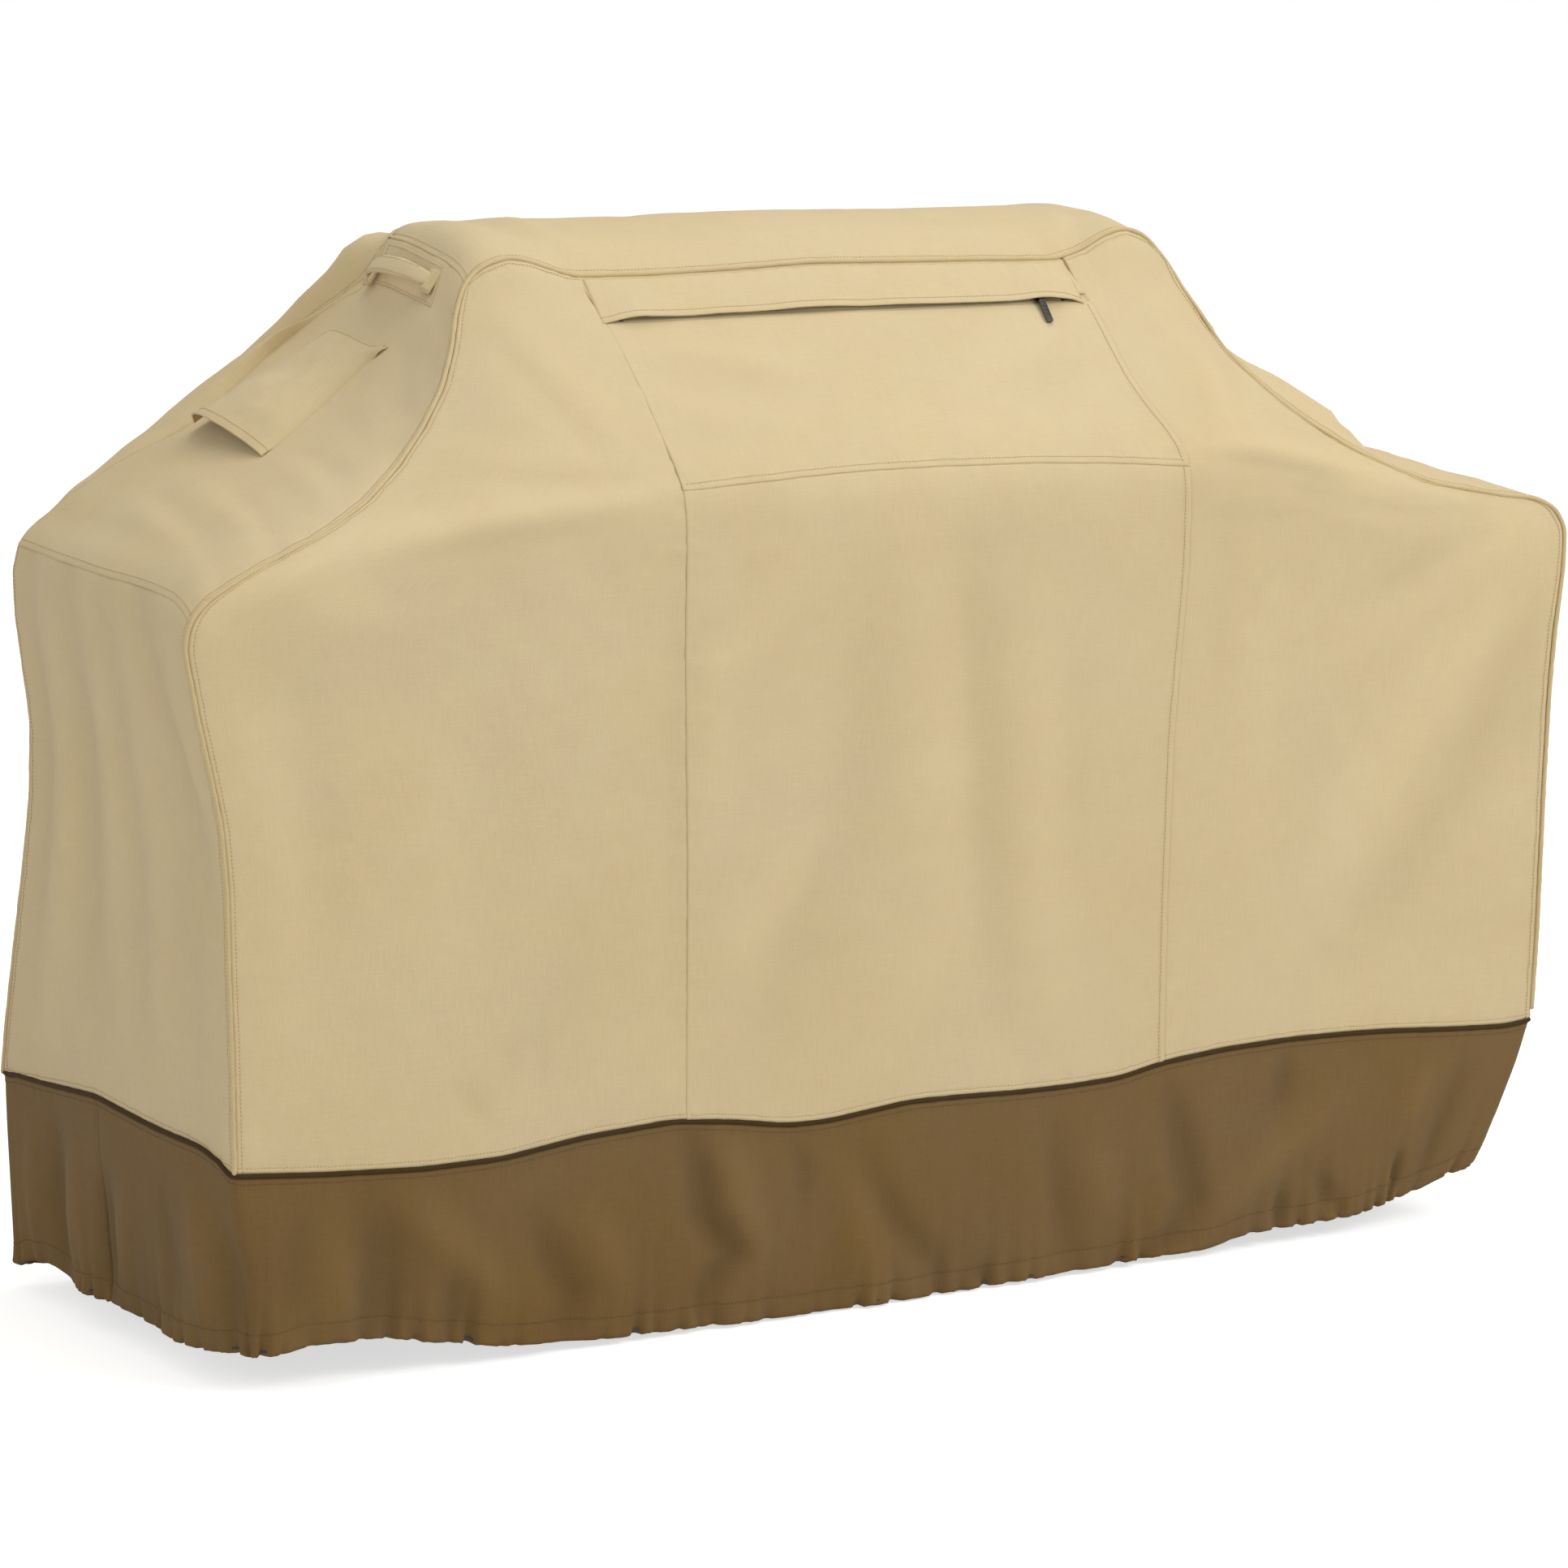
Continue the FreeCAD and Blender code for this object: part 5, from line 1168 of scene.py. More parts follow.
def front_panels():
    panel("front_left_panel", wing_grid(front, LEFT, FRONT_STEP),
          ("softunder", "welt", "welt", "welt"), 21, FRONT_FOLDS)
    right, _ = panel("front_right_panel", wing_grid(front, RIGHT, FRONT_STEP), WING_SEAMS, 22,
                     FRONT_FOLDS)
    lower = front_centre_grid(lambda x: seam_height(x, front.foot_y), bend_height,
                              levels(FOOT_Z, BEND_Z, FRONT_STEP, (860, BEND_Z, 0.75)))
    panel("front_centre_lower_panel", lower, ("softover", "over", "welt", "under"), 23,
          FRONT_FOLDS)
    upper = front_centre_grid(bend_height, lambda x: SLIT_LOW,
                              levels(BEND_Z, 1126, FRONT_STEP * 0.8))
    panel("front_centre_upper_panel", upper, ("softover", "over", "over", "free"), 24,
          FRONT_FOLDS, keep=1 - 0.97 * ease(1085, 1112, upper[:, :1, 2]))
    header = front_centre_grid(lambda x: SLIT_HIGH, lambda x: top_height(front, x),
                               np.linspace(0, 1, 12), start=(-326, 318), rounds=1)
    panel("front_header_panel", header, ("softover", "over", "free", "free"), 25,
          unevenness=0.2, pucker=0.1, keep=0.1)
    line = right[:, 0]
    seam_allowance("front_right_seam_allowance", line[line[:, 2] > 1096],
                   np.array([0, -0.727, 0.687]), 1, (300, 100, 900))


# z, and how far the back stands out from a plain surface on that side's slope
BACK_FULLNESS = {
    LEFT: table("""880 0, 940 1, 965 4, 990 10, 1020 20, 1050 29, 1080 40, 1110 49, 1160 57,
        1200 38, 1225 0"""),
    RIGHT: table("880 0, 930 4, 990 10, 1050 12, 1120 12, 1180 8, 1210 0")}


def back_bulge(grid, side):
    """The back stands fuller than its welt on the slopes."""
    gaps = edge_gaps(grid)
    width, direction = ((33.0, (-0.62, 0.45, 0.64)) if side == LEFT
                        else (26.0, (0.6, 0.5, 0.62)))
    reach = gaps["u1"] / width
    swell = (reach * np.exp(1 - reach)) ** 1.3 * (1 - bell(gaps["v1"], 20.0))
    amount = np.interp(grid[..., 2], *BACK_FULLNESS[side].T) * swell
    return grid + amount[..., None] * np.array(direction)


# z, and lift of the back left panel's lap off the slope
LAP_LIFT = table("""895 1, 905 3, 925 1.5, 945 0.8, 965 2, 985 6, 1005 12, 1025 13, 1045 15,
    1065 19, 1085 18, 1100 12, 1120 6, 1150 3, 1180 1, 1195 0""")


def back_left_lap():
    """Upper edge of the back left panel, from the welt's line forward to the rear seam."""
    rows = back.welt[LEFT]
    x, z = rows[:, 0], rows[:, 2]
    rows = rows[(z > 900) & (z < 1192) & (x > -850) & (x < -440)]
    rows = at_fraction(rows, np.linspace(0, 1, 96))
    z = rows[:, 2]
    # 0 on the welt's line, 1 on the rear seam, negative behind
    part = np.r_[-0.25, -0.2, -0.14, -0.08, np.linspace(0, 0.9, 13), 0.96, 1.0]
    ahead, behind = np.maximum(part, 0)[None], np.maximum(-part, 0)[None]
    profile = np.where(part >= 0, np.sin(np.pi / 2 * np.clip((1 - part) / 0.6, 0, 1)),
                       1 - (part / 0.25) ** 2 * 0.5)
    lift = np.interp(z, *LAP_LIFT.T) + 0.8 * waves(z * 1.3, 35, 30, 80)
    grid = np.repeat(rows[:, None], len(part), 1)
    grid[..., 1] += (rear_shift(z) - 5.0 * ease(1085, 1110, z))[:, None] * ahead + 70.0 * behind
    grid[..., 2] -= 190.0 * behind ** 2
    grid = grid + (lift[:, None] * profile[None])[..., None] * np.array([-0.54, -0.11, 0.83])
    shade = bell((1 - part) * 40, 3.0)[None]
    sheet("back_left_panel_lap", grid, 1.2, centre=(-500, 150, 800), edge=(shade, shade))


def back_panels():
    left, normals = panel("back_left_panel", back_bulge(wing_grid(back, LEFT, BACK_STEP), LEFT),
                          WING_SEAMS, 31, BACK_FOLDS)
    high = left[:, 0, 2] > 1120
    seam_allowance("back_left_seam_allowance", left[:, 0][high], normals[:, 0][high], -1,
                   (-300, 0, 900))
    back_left_lap()
    panel("back_right_panel", back_bulge(wing_grid(back, RIGHT, BACK_STEP), RIGHT), WING_SEAMS,
          32, BACK_FOLDS)
    panel("back_centre_panel", back_centre_grid(BACK_STEP), ("over", "over", "welt", "welt"),
          33, BACK_FOLDS)


# extra fullness of the right slope: part of the way up and height, part across and share
SLOPE_FULLNESS = table("""0 0, .035 2, .07 4, .11 10, .165 6, .225 13, .295 14, .345 7, .372 4.5,
    .39 5, .425 19, .455 22, .482 30, .55 30, .60 28, .65 22, .71 12, .78 4.5, .9 0.8, 1 0""")
FULLNESS_SHARE = table("0 0, .04 .45, .10 .95, .16 1, .3 .85, .45 .6, .7 .3, 1 .0")


def end_panels():
    seams = ("welt", "welt", "welt", "under")
    mirrored = [(height, width, path * (-1, 1) + (10, 0)) for height, width, path in END_FOLDS]
    for side, seed, folds in ((LEFT, 41, END_FOLDS), (RIGHT, 42, mirrored)):
        panel(WORDS[side] + "_end_panel", end_grid(side, FRONT_STEP), seams, seed, folds,
              plane=(1, 2), unevenness=1.8)


def slope_panels():
    """Both slopes, as {side: (grid, normals)}."""
    wrinkles = 0.45 * fold_field(
        *np.broadcast_arrays(slope_across[None] * 400.0, slope_up[:, None] * 520.0), SLOPE_FOLDS)
    fullness = (np.interp(slope_up, *SLOPE_FULLNESS.T)[:, None]
                * np.interp(slope_across, *FULLNESS_SHARE.T)[None])
    return {side: panel(WORDS[side] + "_slope_panel", slope_grid(side),
                        ("welt", "under", "over", "under"), seed, extra=extra, unevenness=1.6)
            for side, seed, extra in ((LEFT, 43, wrinkles), (RIGHT, 44, fullness + wrinkles))}


def top_panel():
    grid = top_grid(FRONT_STEP)
    panel("top_panel", grid, ("over", "over", "welt", "welt"), 45,
          extra=fold_field(grid[..., 0], grid[..., 1], TOP_FOLDS))


front_panels()
back_panels()
end_panels()
slopes = slope_panels()
top_panel()


# ================================================================== skirt
# plan corners: front left, front right, back right, back left
SKIRT_CORNERS = table("-868.5 -297.5, 878 -297.5, 872 312, -870 314")
SEAM_CORNER = 8.0                          # corner radius at the seam
HEM_CORNERS = (92.0, 24.0, 30.0, 14.0)     # corner radii towards the hem
HEM_STITCH = 26.0                          # height of the channel's stitching above the hem
CHANNEL_RADIUS = 4.6                       # of the rolled lower edge
# z x: how the right end falls inward towards the hem, from RIGHT_END_X
RIGHT_FALL = table("30 782, 45 794, 61 808, 89 825, 128 842, 186 862, 240 878")
RIGHT_END_X = 878
# folds drawn in x z on front and back, in y z on the ends
SKIRT_FOLDS = fold_table("""
    -10 13: -310 236, -293 181, -287 134, -250 87, -285 40, -276 0;
    6 18: -262 220, -245 150, -215 70; -4 10: -173 214, -157 165, -162 118;
    -6 13: -75 180, -38 103, 18 39, 34 0; 4 16: -110 160, -80 80, -60 10;
    -9 24: -706 195, -692 129, -698 30; 7 18: -652 185, -603 136, -548 65;
    -6 13: -598 117, -601 20; -9 15: -500 150, -480 107, -456 62, -465 0;
    5 16: -430 150, -400 60; -10 15: 345 200, 362 142, 383 71, 364 34, 325 5;
    6 18: 581 160, 498 107, 416 47; -5 12: 512 236, 508 200, 497 160; -8 9: 700 90, 710 35;
    -5 9: 511 70, 511 20; -6 9: 565 80, 600 20; -4 8: 84 30, 92 0;
    -5 14: -790 200, -800 120, -790 50; 5 16: -745 160, -740 60;
    -5 14: 180 180, 190 100, 210 10; 4 18: 240 150, 260 60; -5 12: 790 190, 770 110, 760 50;
    5 14: 730 190, 690 120""")
SKIRT_BACK_FOLDS = [(height, width * 1.1, path * (-0.94, 1) + (20, 0))
                    for height, width, path in SKIRT_FOLDS]
SKIRT_END_FOLDS = fold_table("""
    -9 13: 30 180, 28 110, 42 30; 6 16: -20 190, -10 60; -6 16: 160 220, 170 120, 150 40;
    6 18: 105 200, 110 70; -6 16: -120 200, -140 110, -120 40; 5 18: -200 220, -215 80;
    -5 14: -262 180, -255 60; 5 16: 230 200, 240 60""")


def corner_arms(index):
    """A plan corner and the unit directions to the corners before and after it."""
    corner = SKIRT_CORNERS[index]
    arms = [SKIRT_CORNERS[(index + step) % 4] - corner for step in (-1, 1)]
    return corner, *(arm / np.linalg.norm(arm) for arm in arms)


def corner_curve(corner, before, after, radius, part):
    return ((1 - part) ** 2 * (corner + before * radius) + 2 * part * (1 - part) * corner
            + part * part * (corner + after * radius))


def ease_corners(plan, radii):
    """The plan outline with each corner eased to its radius, point for point."""
    eased = plan
    for k, radius in enumerate(radii):
        corner, before, after = corner_arms(k)
        to_before, to_after = (plan - corner) @ before, (plan - corner) @ after
        along = np.where(to_before > to_after, -to_before, to_after)
        distance = np.linalg.norm(plan - corner, axis=1)
        near = (np.abs(along) < radius) & (distance < radius * 1.05)
        part = np.clip((along + radius) / (2 * radius), 0, 1)[:, None]
        curve = corner_curve(corner, before, after, radius, part)
        eased = np.where(near[:, None], curve, eased)
    return eased


def ring_plan():
    """Closed plan outline of the skirt seam, counter-clockwise from the left end's seam."""
    part = np.linspace(0, 1, 6)[:, None]
    points = np.concatenate([corner_curve(*corner_arms(k), SEAM_CORNER, part)
                             for k in range(4)])
    points = np.concatenate([points, points[:1]])
    run = lengths(points)
    count = int(run[-1] / RING_STEP)
    plan = sample(points, run, np.linspace(0, run[-1], count, endpoint=False))
    # both ends bow out by 5; each is (side, depth from front to back)
    for side, depth in ((LEFT, 611), (RIGHT, 609)):
        bow = side * 5 * np.sin(np.pi * np.clip((plan[:, 1] + 297) / depth, 0, 1))
        plan[:, 0] += np.where(side * plan[:, 0] > 860, bow, 0)
    start = int(np.argmin(np.abs(plan[:, 0] + 874) + np.abs(plan[:, 1] - 42)))
    return np.roll(plan, -start, 0)


plan = ring_plan()
plan_x, plan_y = plan.T
ring_count = len(plan)
ring_run = lengths(plan)
ring_length = ring_run[-1] + RING_STEP
seam_z = seam_height(plan_x, plan_y)
hem_z = edge_height(HEM_HEIGHTS, HEM_TURNS, plan_x, plan_y)
skirt_height = seam_z - hem_z


def ring_normals():
    """Outward plan normals, smoothed round the corners."""
    tangents = np.roll(plan, -2, 0) - np.roll(plan, 2, 0)
    tangents /= np.linalg.norm(tangents, axis=1, keepdims=True)
    normals = np.stack([tangents[:, 1], -tangents[:, 0]], 1)
    for _ in range(8):
        normals = (np.roll(normals, 1, 0) + normals + np.roll(normals, -1, 0)) / 3
    return normals / np.linalg.norm(normals, axis=1, keepdims=True)


def ring_wave(seed, shortest, longest, count):
    """Irregular wave that closes round the ring."""
    random = np.random.RandomState(seed)
    total = 0
    for _ in range(count):
        turns = max(1, int(round(ring_length / random.uniform(shortest, longest))))
        total = total + np.sin(ring_run / ring_length * 2 * np.pi * turns
                               + random.uniform(0, 6.3))
    return total / math.sqrt(count) * 0.9


plan_normals = ring_normals()
# share of gathering: none where the eyelets and the lock sit at the back
gathered = 1 - (ease(-260, -225, plan_x) * (1 - ease(45, 70, plan_x)) * (plan_y > 250))
gathers = 0.62 * ring_wave(61, 19, 34, 12) + 0.45 * ring_wave(62, 36, 62, 8)
gathers = gathers * (0.75 + 0.45 * ring_wave(63, 160, 420, 5)) * (0.12 + 0.88 * gathered)
# rows from the seam (0) down to the hem (1)
skirt_parts = np.r_[0, 0.005, 0.012, 0.02, 0.03, np.linspace(0.05, 0.86, 22),
                    0.885, 0.91, 0.93, 0.95, 0.97, 0.985, 1.0]


def skirt_surface():
    """Outer surface of the skirt as x, y, z grids, with its painted fold shade and the painted
    shade at its seam and hem stitching.
    """
    part = skirt_parts[:, None]
    drop, rise = part * skirt_height[None], (1 - part) * skirt_height[None]
    z = seam_z[None] - drop
    share = ease(0.0, 0.75, part) * 0.95
    eased = ease_corners(plan, HEM_CORNERS)
    x = plan_x[None] * (1 - share) + eased[:, 0][None] * share
    y = plan_y[None] * (1 - share) + eased[:, 1][None] * share
    on_front, on_back = ease(-270, -292, y), ease(285, 306, y)
    calm = (0.12 + 0.88 * gathered)[None]
    folds = (on_front * fold_field(x, z, SKIRT_FOLDS)
             + on_back * calm * fold_field(x, z, SKIRT_BACK_FOLDS)
             + (1 - on_front - on_back) * fold_field(y, z, SKIRT_END_FOLDS))
    folds = 17.0 * np.tanh(1.55 * folds / 17.0)
    sway = 3.0 * ring_wave(64, 140, 330, 6) + 1.5 * ring_wave(65, 60, 130, 6)
    sway = sway[None] * calm * part ** 1.3
    hem_gathers = gathers[None] * (4.6 * fade(rise, 24.0) + 1.5 * fade(rise, 70.0))
    puckers = 0.55 * ring_wave(66, 14, 30, 8)[None] * fade(drop, 16.0) * ease(0.004, 0.03, part)
    seam_relief = (-1.2 * bell(drop, 2.6)
                   + 0.6 * (ease(1.5, 4, drop) - ease(7.5, 10, drop)))
    stitch_dip = -0.35 * bell(rise - HEM_STITCH, 2.4)
    pull_in = -8.0 * part ** 2 * (0.1 + 0.9 * gathered)[None]
    relief = (folds * (0.35 + 0.65 * ease(0, 0.25, part)) + sway + hem_gathers + puckers
              + seam_relief + stitch_dip + pull_in)
    relief = np.where(relief > 0, 18.0 * np.tanh(relief / 18.0), relief)
    # low at the back the cloth stays behind the fittings
    seat = ease(-250, -215, plan_x) * (1 - ease(-40, 0, plan_x)) * (plan_y > 250)
    seat = seat[None] * ease(60, 34, z)
    relief = relief * (1 - seat) + np.minimum(relief, -2.2) * seat
    # sharp crease at the left end's seam
    crease = fade(np.abs(np.where(plan_x < -800, plan_y - 42, 1e3)), 7.0)[None]
    relief += -4.0 * crease * part ** 0.6
    x = x + plan_normals[:, 0][None] * relief
    y = y + plan_normals[:, 1][None] * relief
    fall = (np.interp(z, *RIGHT_FALL.T) - RIGHT_END_X) * ease(600, 874, plan_x)[None]
    x = x + fall * (1 - 0.55 * ease(-150, 280, y))
    z = z + (part ** 3) * 2.6 * np.abs(gathers)[None] * gathered[None]
    # painted fold shade: lighter on the folds' ridges, darker in their hollows
    fold_shade_and_tone = np.clip((folds + sway + hem_gathers) / 9.0, -1.3, 1.3)
    # painted shade below the seam and along the hem stitching
    shade = bell(drop, 3.0) + 0.10 * bell(rise - HEM_STITCH, 2.0)
    return np.stack([x, y, z], -1), fold_shade_and_tone, shade


skirt_outside, skirt_fold_shade, skirt_shade = skirt_surface()


def hem_point(inward, rise):
    """Ring moved from the hem line inward and up."""
    hem = skirt_outside[-1]
    return np.stack([hem[:, 0] - plan_normals[:, 0] * inward,
                     hem[:, 1] - plan_normals[:, 1] * inward, hem[:, 2] + rise], -1)


def skirt_line(grid, normals, columns, drop):
    """Line on the skirt at a distance below the seam, with its normals."""
    place = np.interp(drop / skirt_height[columns], skirt_parts, np.arange(len(skirt_parts)))
    row = place.astype(int)
    part = (place - row)[:, None]
    j = np.arange(len(columns))
    return grid[row, j] * (1 - part) + grid[row + 1, j] * part, normals[row, j]


def skirt():
    # rolled lower edge, then the inner side of the hem channel
    roll = [hem_point(CHANNEL_RADIUS * (1 - np.cos(angle)),
                      CHANNEL_RADIUS - CHANNEL_RADIUS * np.sin(angle))
            for angle in np.linspace(0.25, 1.0, 6) * np.pi]
    roll += [hem_point(2 * CHANNEL_RADIUS, CHANNEL_RADIUS + rise) for rise in (6, 12, 18, 22)]
    # the last outer rows rise so that the roll starts at the side of the channel
    outer = skirt_outside.copy()
    for row, share in ((-1, 1.0), (-2, 0.55), (-3, 0.2)):
        outer[row, :, 2] += CHANNEL_RADIUS * share
    whole = np.concatenate([outer, np.array(roll)])
    plain = np.zeros((len(roll), ring_count))
    fold_shade_and_tone = np.concatenate([skirt_fold_shade, plain])
    shade = np.concatenate([skirt_shade, plain])
    # parted at the two end seams
    right_seam = int(np.argmin(np.abs(plan_x - 877) + np.abs(plan_y - 42)))
    halves = {"skirt_front": np.arange(0, right_seam + 1),
              "skirt_back": np.r_[np.arange(right_seam, ring_count), 0]}
    for name, columns in halves.items():
        grid = whole[:, columns]
        normals, _ = outward(grid)
        if name == "skirt_back":
            # the back part tucks under the front part at the seams
            order = np.arange(len(columns))
            from_seam = np.minimum(order, order[::-1])
            grid = grid - normals * (1.6 * bell(from_seam, 1.6))[None, :, None]
            normals, _ = outward(grid)
        sheet(name + "_cloth", grid, 1.3, "brown_canvas", (name,),
              fold_shade_and_tone=(fold_shade_and_tone[:, columns], fold_shade_and_tone[:, columns]), edge=(shade[:, columns], 0.0))
        for drop, seed in ((9.0, 71), (skirt_height[columns] - HEM_STITCH, 72)):
            sew(*skirt_line(grid, normals, columns, drop), seed, "brown")


skirt()


# ================================================================== welt cords
def push_out(curve, amount):
    """Moves a curve slightly outward from the body of the cover."""
    direction = curve - np.array([0, 10, 620.0])
    direction[:, 2] *= 0.4
    direction /= np.linalg.norm(direction, axis=1, keepdims=True)
    return curve + direction * amount


def welt_cords():
    near = at_fraction(front.whole, np.linspace(0.0012, 0.9988, 900))
    far = at_fraction(back.whole, np.linspace(0.0012, 0.9988, 800))
    on_slope = (far[:, 0] < -440) & (far[:, 2] > 890)
    far[:, 1] += np.where(on_slope, rear_shift(far[:, 2]), 0)
    for name, path, seed in (("front_welt", near, 5), ("back_welt", far, 6)):
        build(name + "_cord", tube(push_out(path, 0.9), 2.7, wobble=0.16, seed=seed),
              "tan_welt", (name,))
    ring = skirt_outside[0] + np.pad(plan_normals * 1.5, ((0, 0), (0, 1)))
    build("skirt_welt_cord", tube(ring, 2.9, closed=True, wobble=0.16, seed=7), "dark_welt",
          ("skirt_welt",))


welt_cords()

# ================================================================== elastic cord
# tails outside the back, x y z: in through the right eyelet, and out of the left one
RIGHT_TAIL = table("""-196 322 16.2, -120 322 16.2, -36 322 16.2, -24 322 15.0, -12 322 12.6,
    0 322 10, 8 322 9.1, 15 322 9, 21 320.5 9, 25 316 9, 26 311 9, 26.3 307 9, 28 304.2 9,
    32 303 9, 42 303 9""")
LEFT_TAIL = table("""-42 303 9, -30 303 9, -24 303 9, -21.2 304.2 9, -20 307 9, -20.2 311 9,
    -21.5 317 9, -25 320.6 9, -31 322 9, -84 322 9, -140 322 9, -196 322 9""")


def elastic_cord():
    """Cord round the hem channel, from beside one eyelet to beside the other."""
    channel = hem_point(CHANNEL_RADIUS, CHANNEL_RADIUS + 1.5)
    start, stop = (int(np.argmin(np.where(plan_y > 300, np.abs(plan_x - x), 1e9)))
                   for x in (60, -60))
    # backwards through the ring: away over the right end, back over the left end
    order = (start - np.arange((start - stop) % ring_count + 1)) % ring_count
    path = np.concatenate([RIGHT_TAIL, channel[order[::3]], LEFT_TAIL])
    build("elastic_cord_braid",
          tube(smooth_curve(path, 2.2, 3.0), 2.0, sides=8, wobble=0.04, seed=9),
          "elastic", ("elastic_cord",))


elastic_cord()


# ================================================================== lock spring
def lock_spring():
    """Coil filling the box of the modelled spring."""
    low, high = (np.array(corner, float) * 1000 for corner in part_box("cord_lock_spring"))
    wire = 0.42
    turns = 3.6
    flat_turn = 0.55      # turn without rise at each end
    x, z = (low[0] + high[0]) / 2, (low[2] + high[2]) / 2
    radius = (high[0] - low[0]) / 2 - wire
    angle = np.linspace(0, turns * 2 * np.pi, 220)
    turned = angle / angle[-1] * turns
    part = np.clip((turned - flat_turn) / (turns - 2 * flat_turn), 0, 1)
    y = (low[1] + wire) + (high[1] - low[1] - 2 * wire) * part - Y_SHIFT
    path = np.stack([x + radius * np.cos(angle), y, z + radius * np.sin(angle)], 1)
    spring = build("cord_lock_spring_coil", tube(path, wire), "spring_steel",
                   ("cord_lock_spring",), body="cord_lock")
    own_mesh(spring)


lock_spring()

# ================================================================== zip
ZIP_ANGLE = math.radians(46.637)
ZIP_MIDDLE = np.array([0, -128.3, 1130.0])
UP_SLOPE = np.array([0, math.cos(ZIP_ANGLE), math.sin(ZIP_ANGLE)])
OFF_SLOPE = np.array([0, -math.sin(ZIP_ANGLE), math.cos(ZIP_ANGLE)])


def zip_point(x, up, off):
    """Point at x, up the zip's slope and off it."""
    x, up, off = (array[..., None] for array in np.broadcast_arrays(x, up, off))
    return ZIP_MIDDLE + x * np.array([1, 0, 0]) + up * UP_SLOPE + off * OFF_SLOPE


def zip_tapes_and_coils():
    x = np.linspace(-321.0, 316.5, 190)
    for name, low, high in (("zip_lower_tape", -17.6, -0.9), ("zip_upper_tape", 0.9, 11.4)):
        grid = zip_point(x[None], np.linspace(low, high, 7)[:, None],
                         -1.1 + 0.10 * waves(x, 81, 20, 60)[None])
        sheet(name + "_weave", grid, 0.7, "zip_tape", (name,), centre=(0, 0, 900))
    # each coil is one long spiral of filament
    half_length = 293
    turns = 294
    angle = np.linspace(0, turns * 2 * np.pi, turns * 8)
    for name, side in (("zip_lower_coil", -1), ("zip_upper_coil", 1)):
        path = zip_point(-half_length + 2 * half_length * angle / angle[-1],
                         side * (1.95 + 0.80 * np.cos(angle)), 0.45 + 1.35 * np.sin(angle))
        build(name + "_spiral", tube(path, 0.27, sides=5), "zip_coil", (name,))


zip_tapes_and_coils()

# ================================================================== pocket flap over the zip
FLAP_HALF = 322.0
# free edge, x y z
FLAP_EDGE = table("""
    -322 -138.5 1132.5, -305 -136 1136, -262 -135 1138.5, -210 -133 1139.5, -156 -131.5 1141,
    -90 -129.5 1143, -12 -126 1146.5, 60 -130 1142.5, 120 -133 1139.5, 168 -135 1138,
    215 -135 1138, 260 -134 1139, 300 -131 1142.5, 312 -131.5 1141, 322 -139 1132.5""")


def pocket_flap():
    x = np.linspace(-FLAP_HALF, FLAP_HALF, 150)
    from_end = FLAP_HALF - np.abs(x)
    root_z = top_height(front, x) - 3.6
    root = np.stack([x, face_y(front, x, root_z) - 1.2, root_z], 1)
    up = (at_key(smooth_curve(FLAP_EDGE, 7), 0, x) - ZIP_MIDDLE) @ UP_SLOPE
    up = up * 0.40 - 3.2 - 3.2 * ease(240, 292, x)
    # the free edge stands off the slope: hardly at the sewn ends, wavy between
    off = (0.9 + (1 - fade(from_end, 20.0)) * (4.6 + 1.1 * waves(x, 91, 90, 240, 5))
           + 6.4 * bell(x - 268, 25.0) + 3.4 * bell(x + 281, 22.0))
    edge = zip_point(x, up, off)
    part = np.r_[0, 0.04, 0.1, np.linspace(0.2, 0.9, 9), 0.94, 0.97, 1.0][:, None]
    edge_wave = 0.9 * waves(x, 93, 60, 160)
    lift = (2.6 * np.sin(np.pi * part ** 0.9) * (1 - fade(from_end, 26.0))[None]
            + 0.7 * waves(x, 92, 16, 44)[None] * fade(part * 45, 12.0)
            + edge_wave[None] * part)
    grid = root[None] * (1 - part)[..., None] + edge[None] * part[..., None]
    grid = grid + OFF_SLOPE * lift[..., None]
    # the sewn ends lie down on the slope
    above = (grid - ZIP_MIDDLE) @ OFF_SLOPE
    settle = (np.minimum(above, 0.9) - above) * bell(from_end, 12.0)[None]
    grid = grid + OFF_SLOPE * settle[..., None]
    sheet("pocket_flap_cloth", grid, 1.4, nodes=("pocket_flap",), centre=(0, 60, 1000))
    hem = edge + OFF_SLOPE * (-0.4 + edge_wave)[:, None]
    build("pocket_flap_hem", tube(hem, 1.35, sides=8, wobble=0.12, seed=12), "tan_canvas")
    sew(inset(grid, "v1", 7.0), OFF_SLOPE, 94)


pocket_flap()


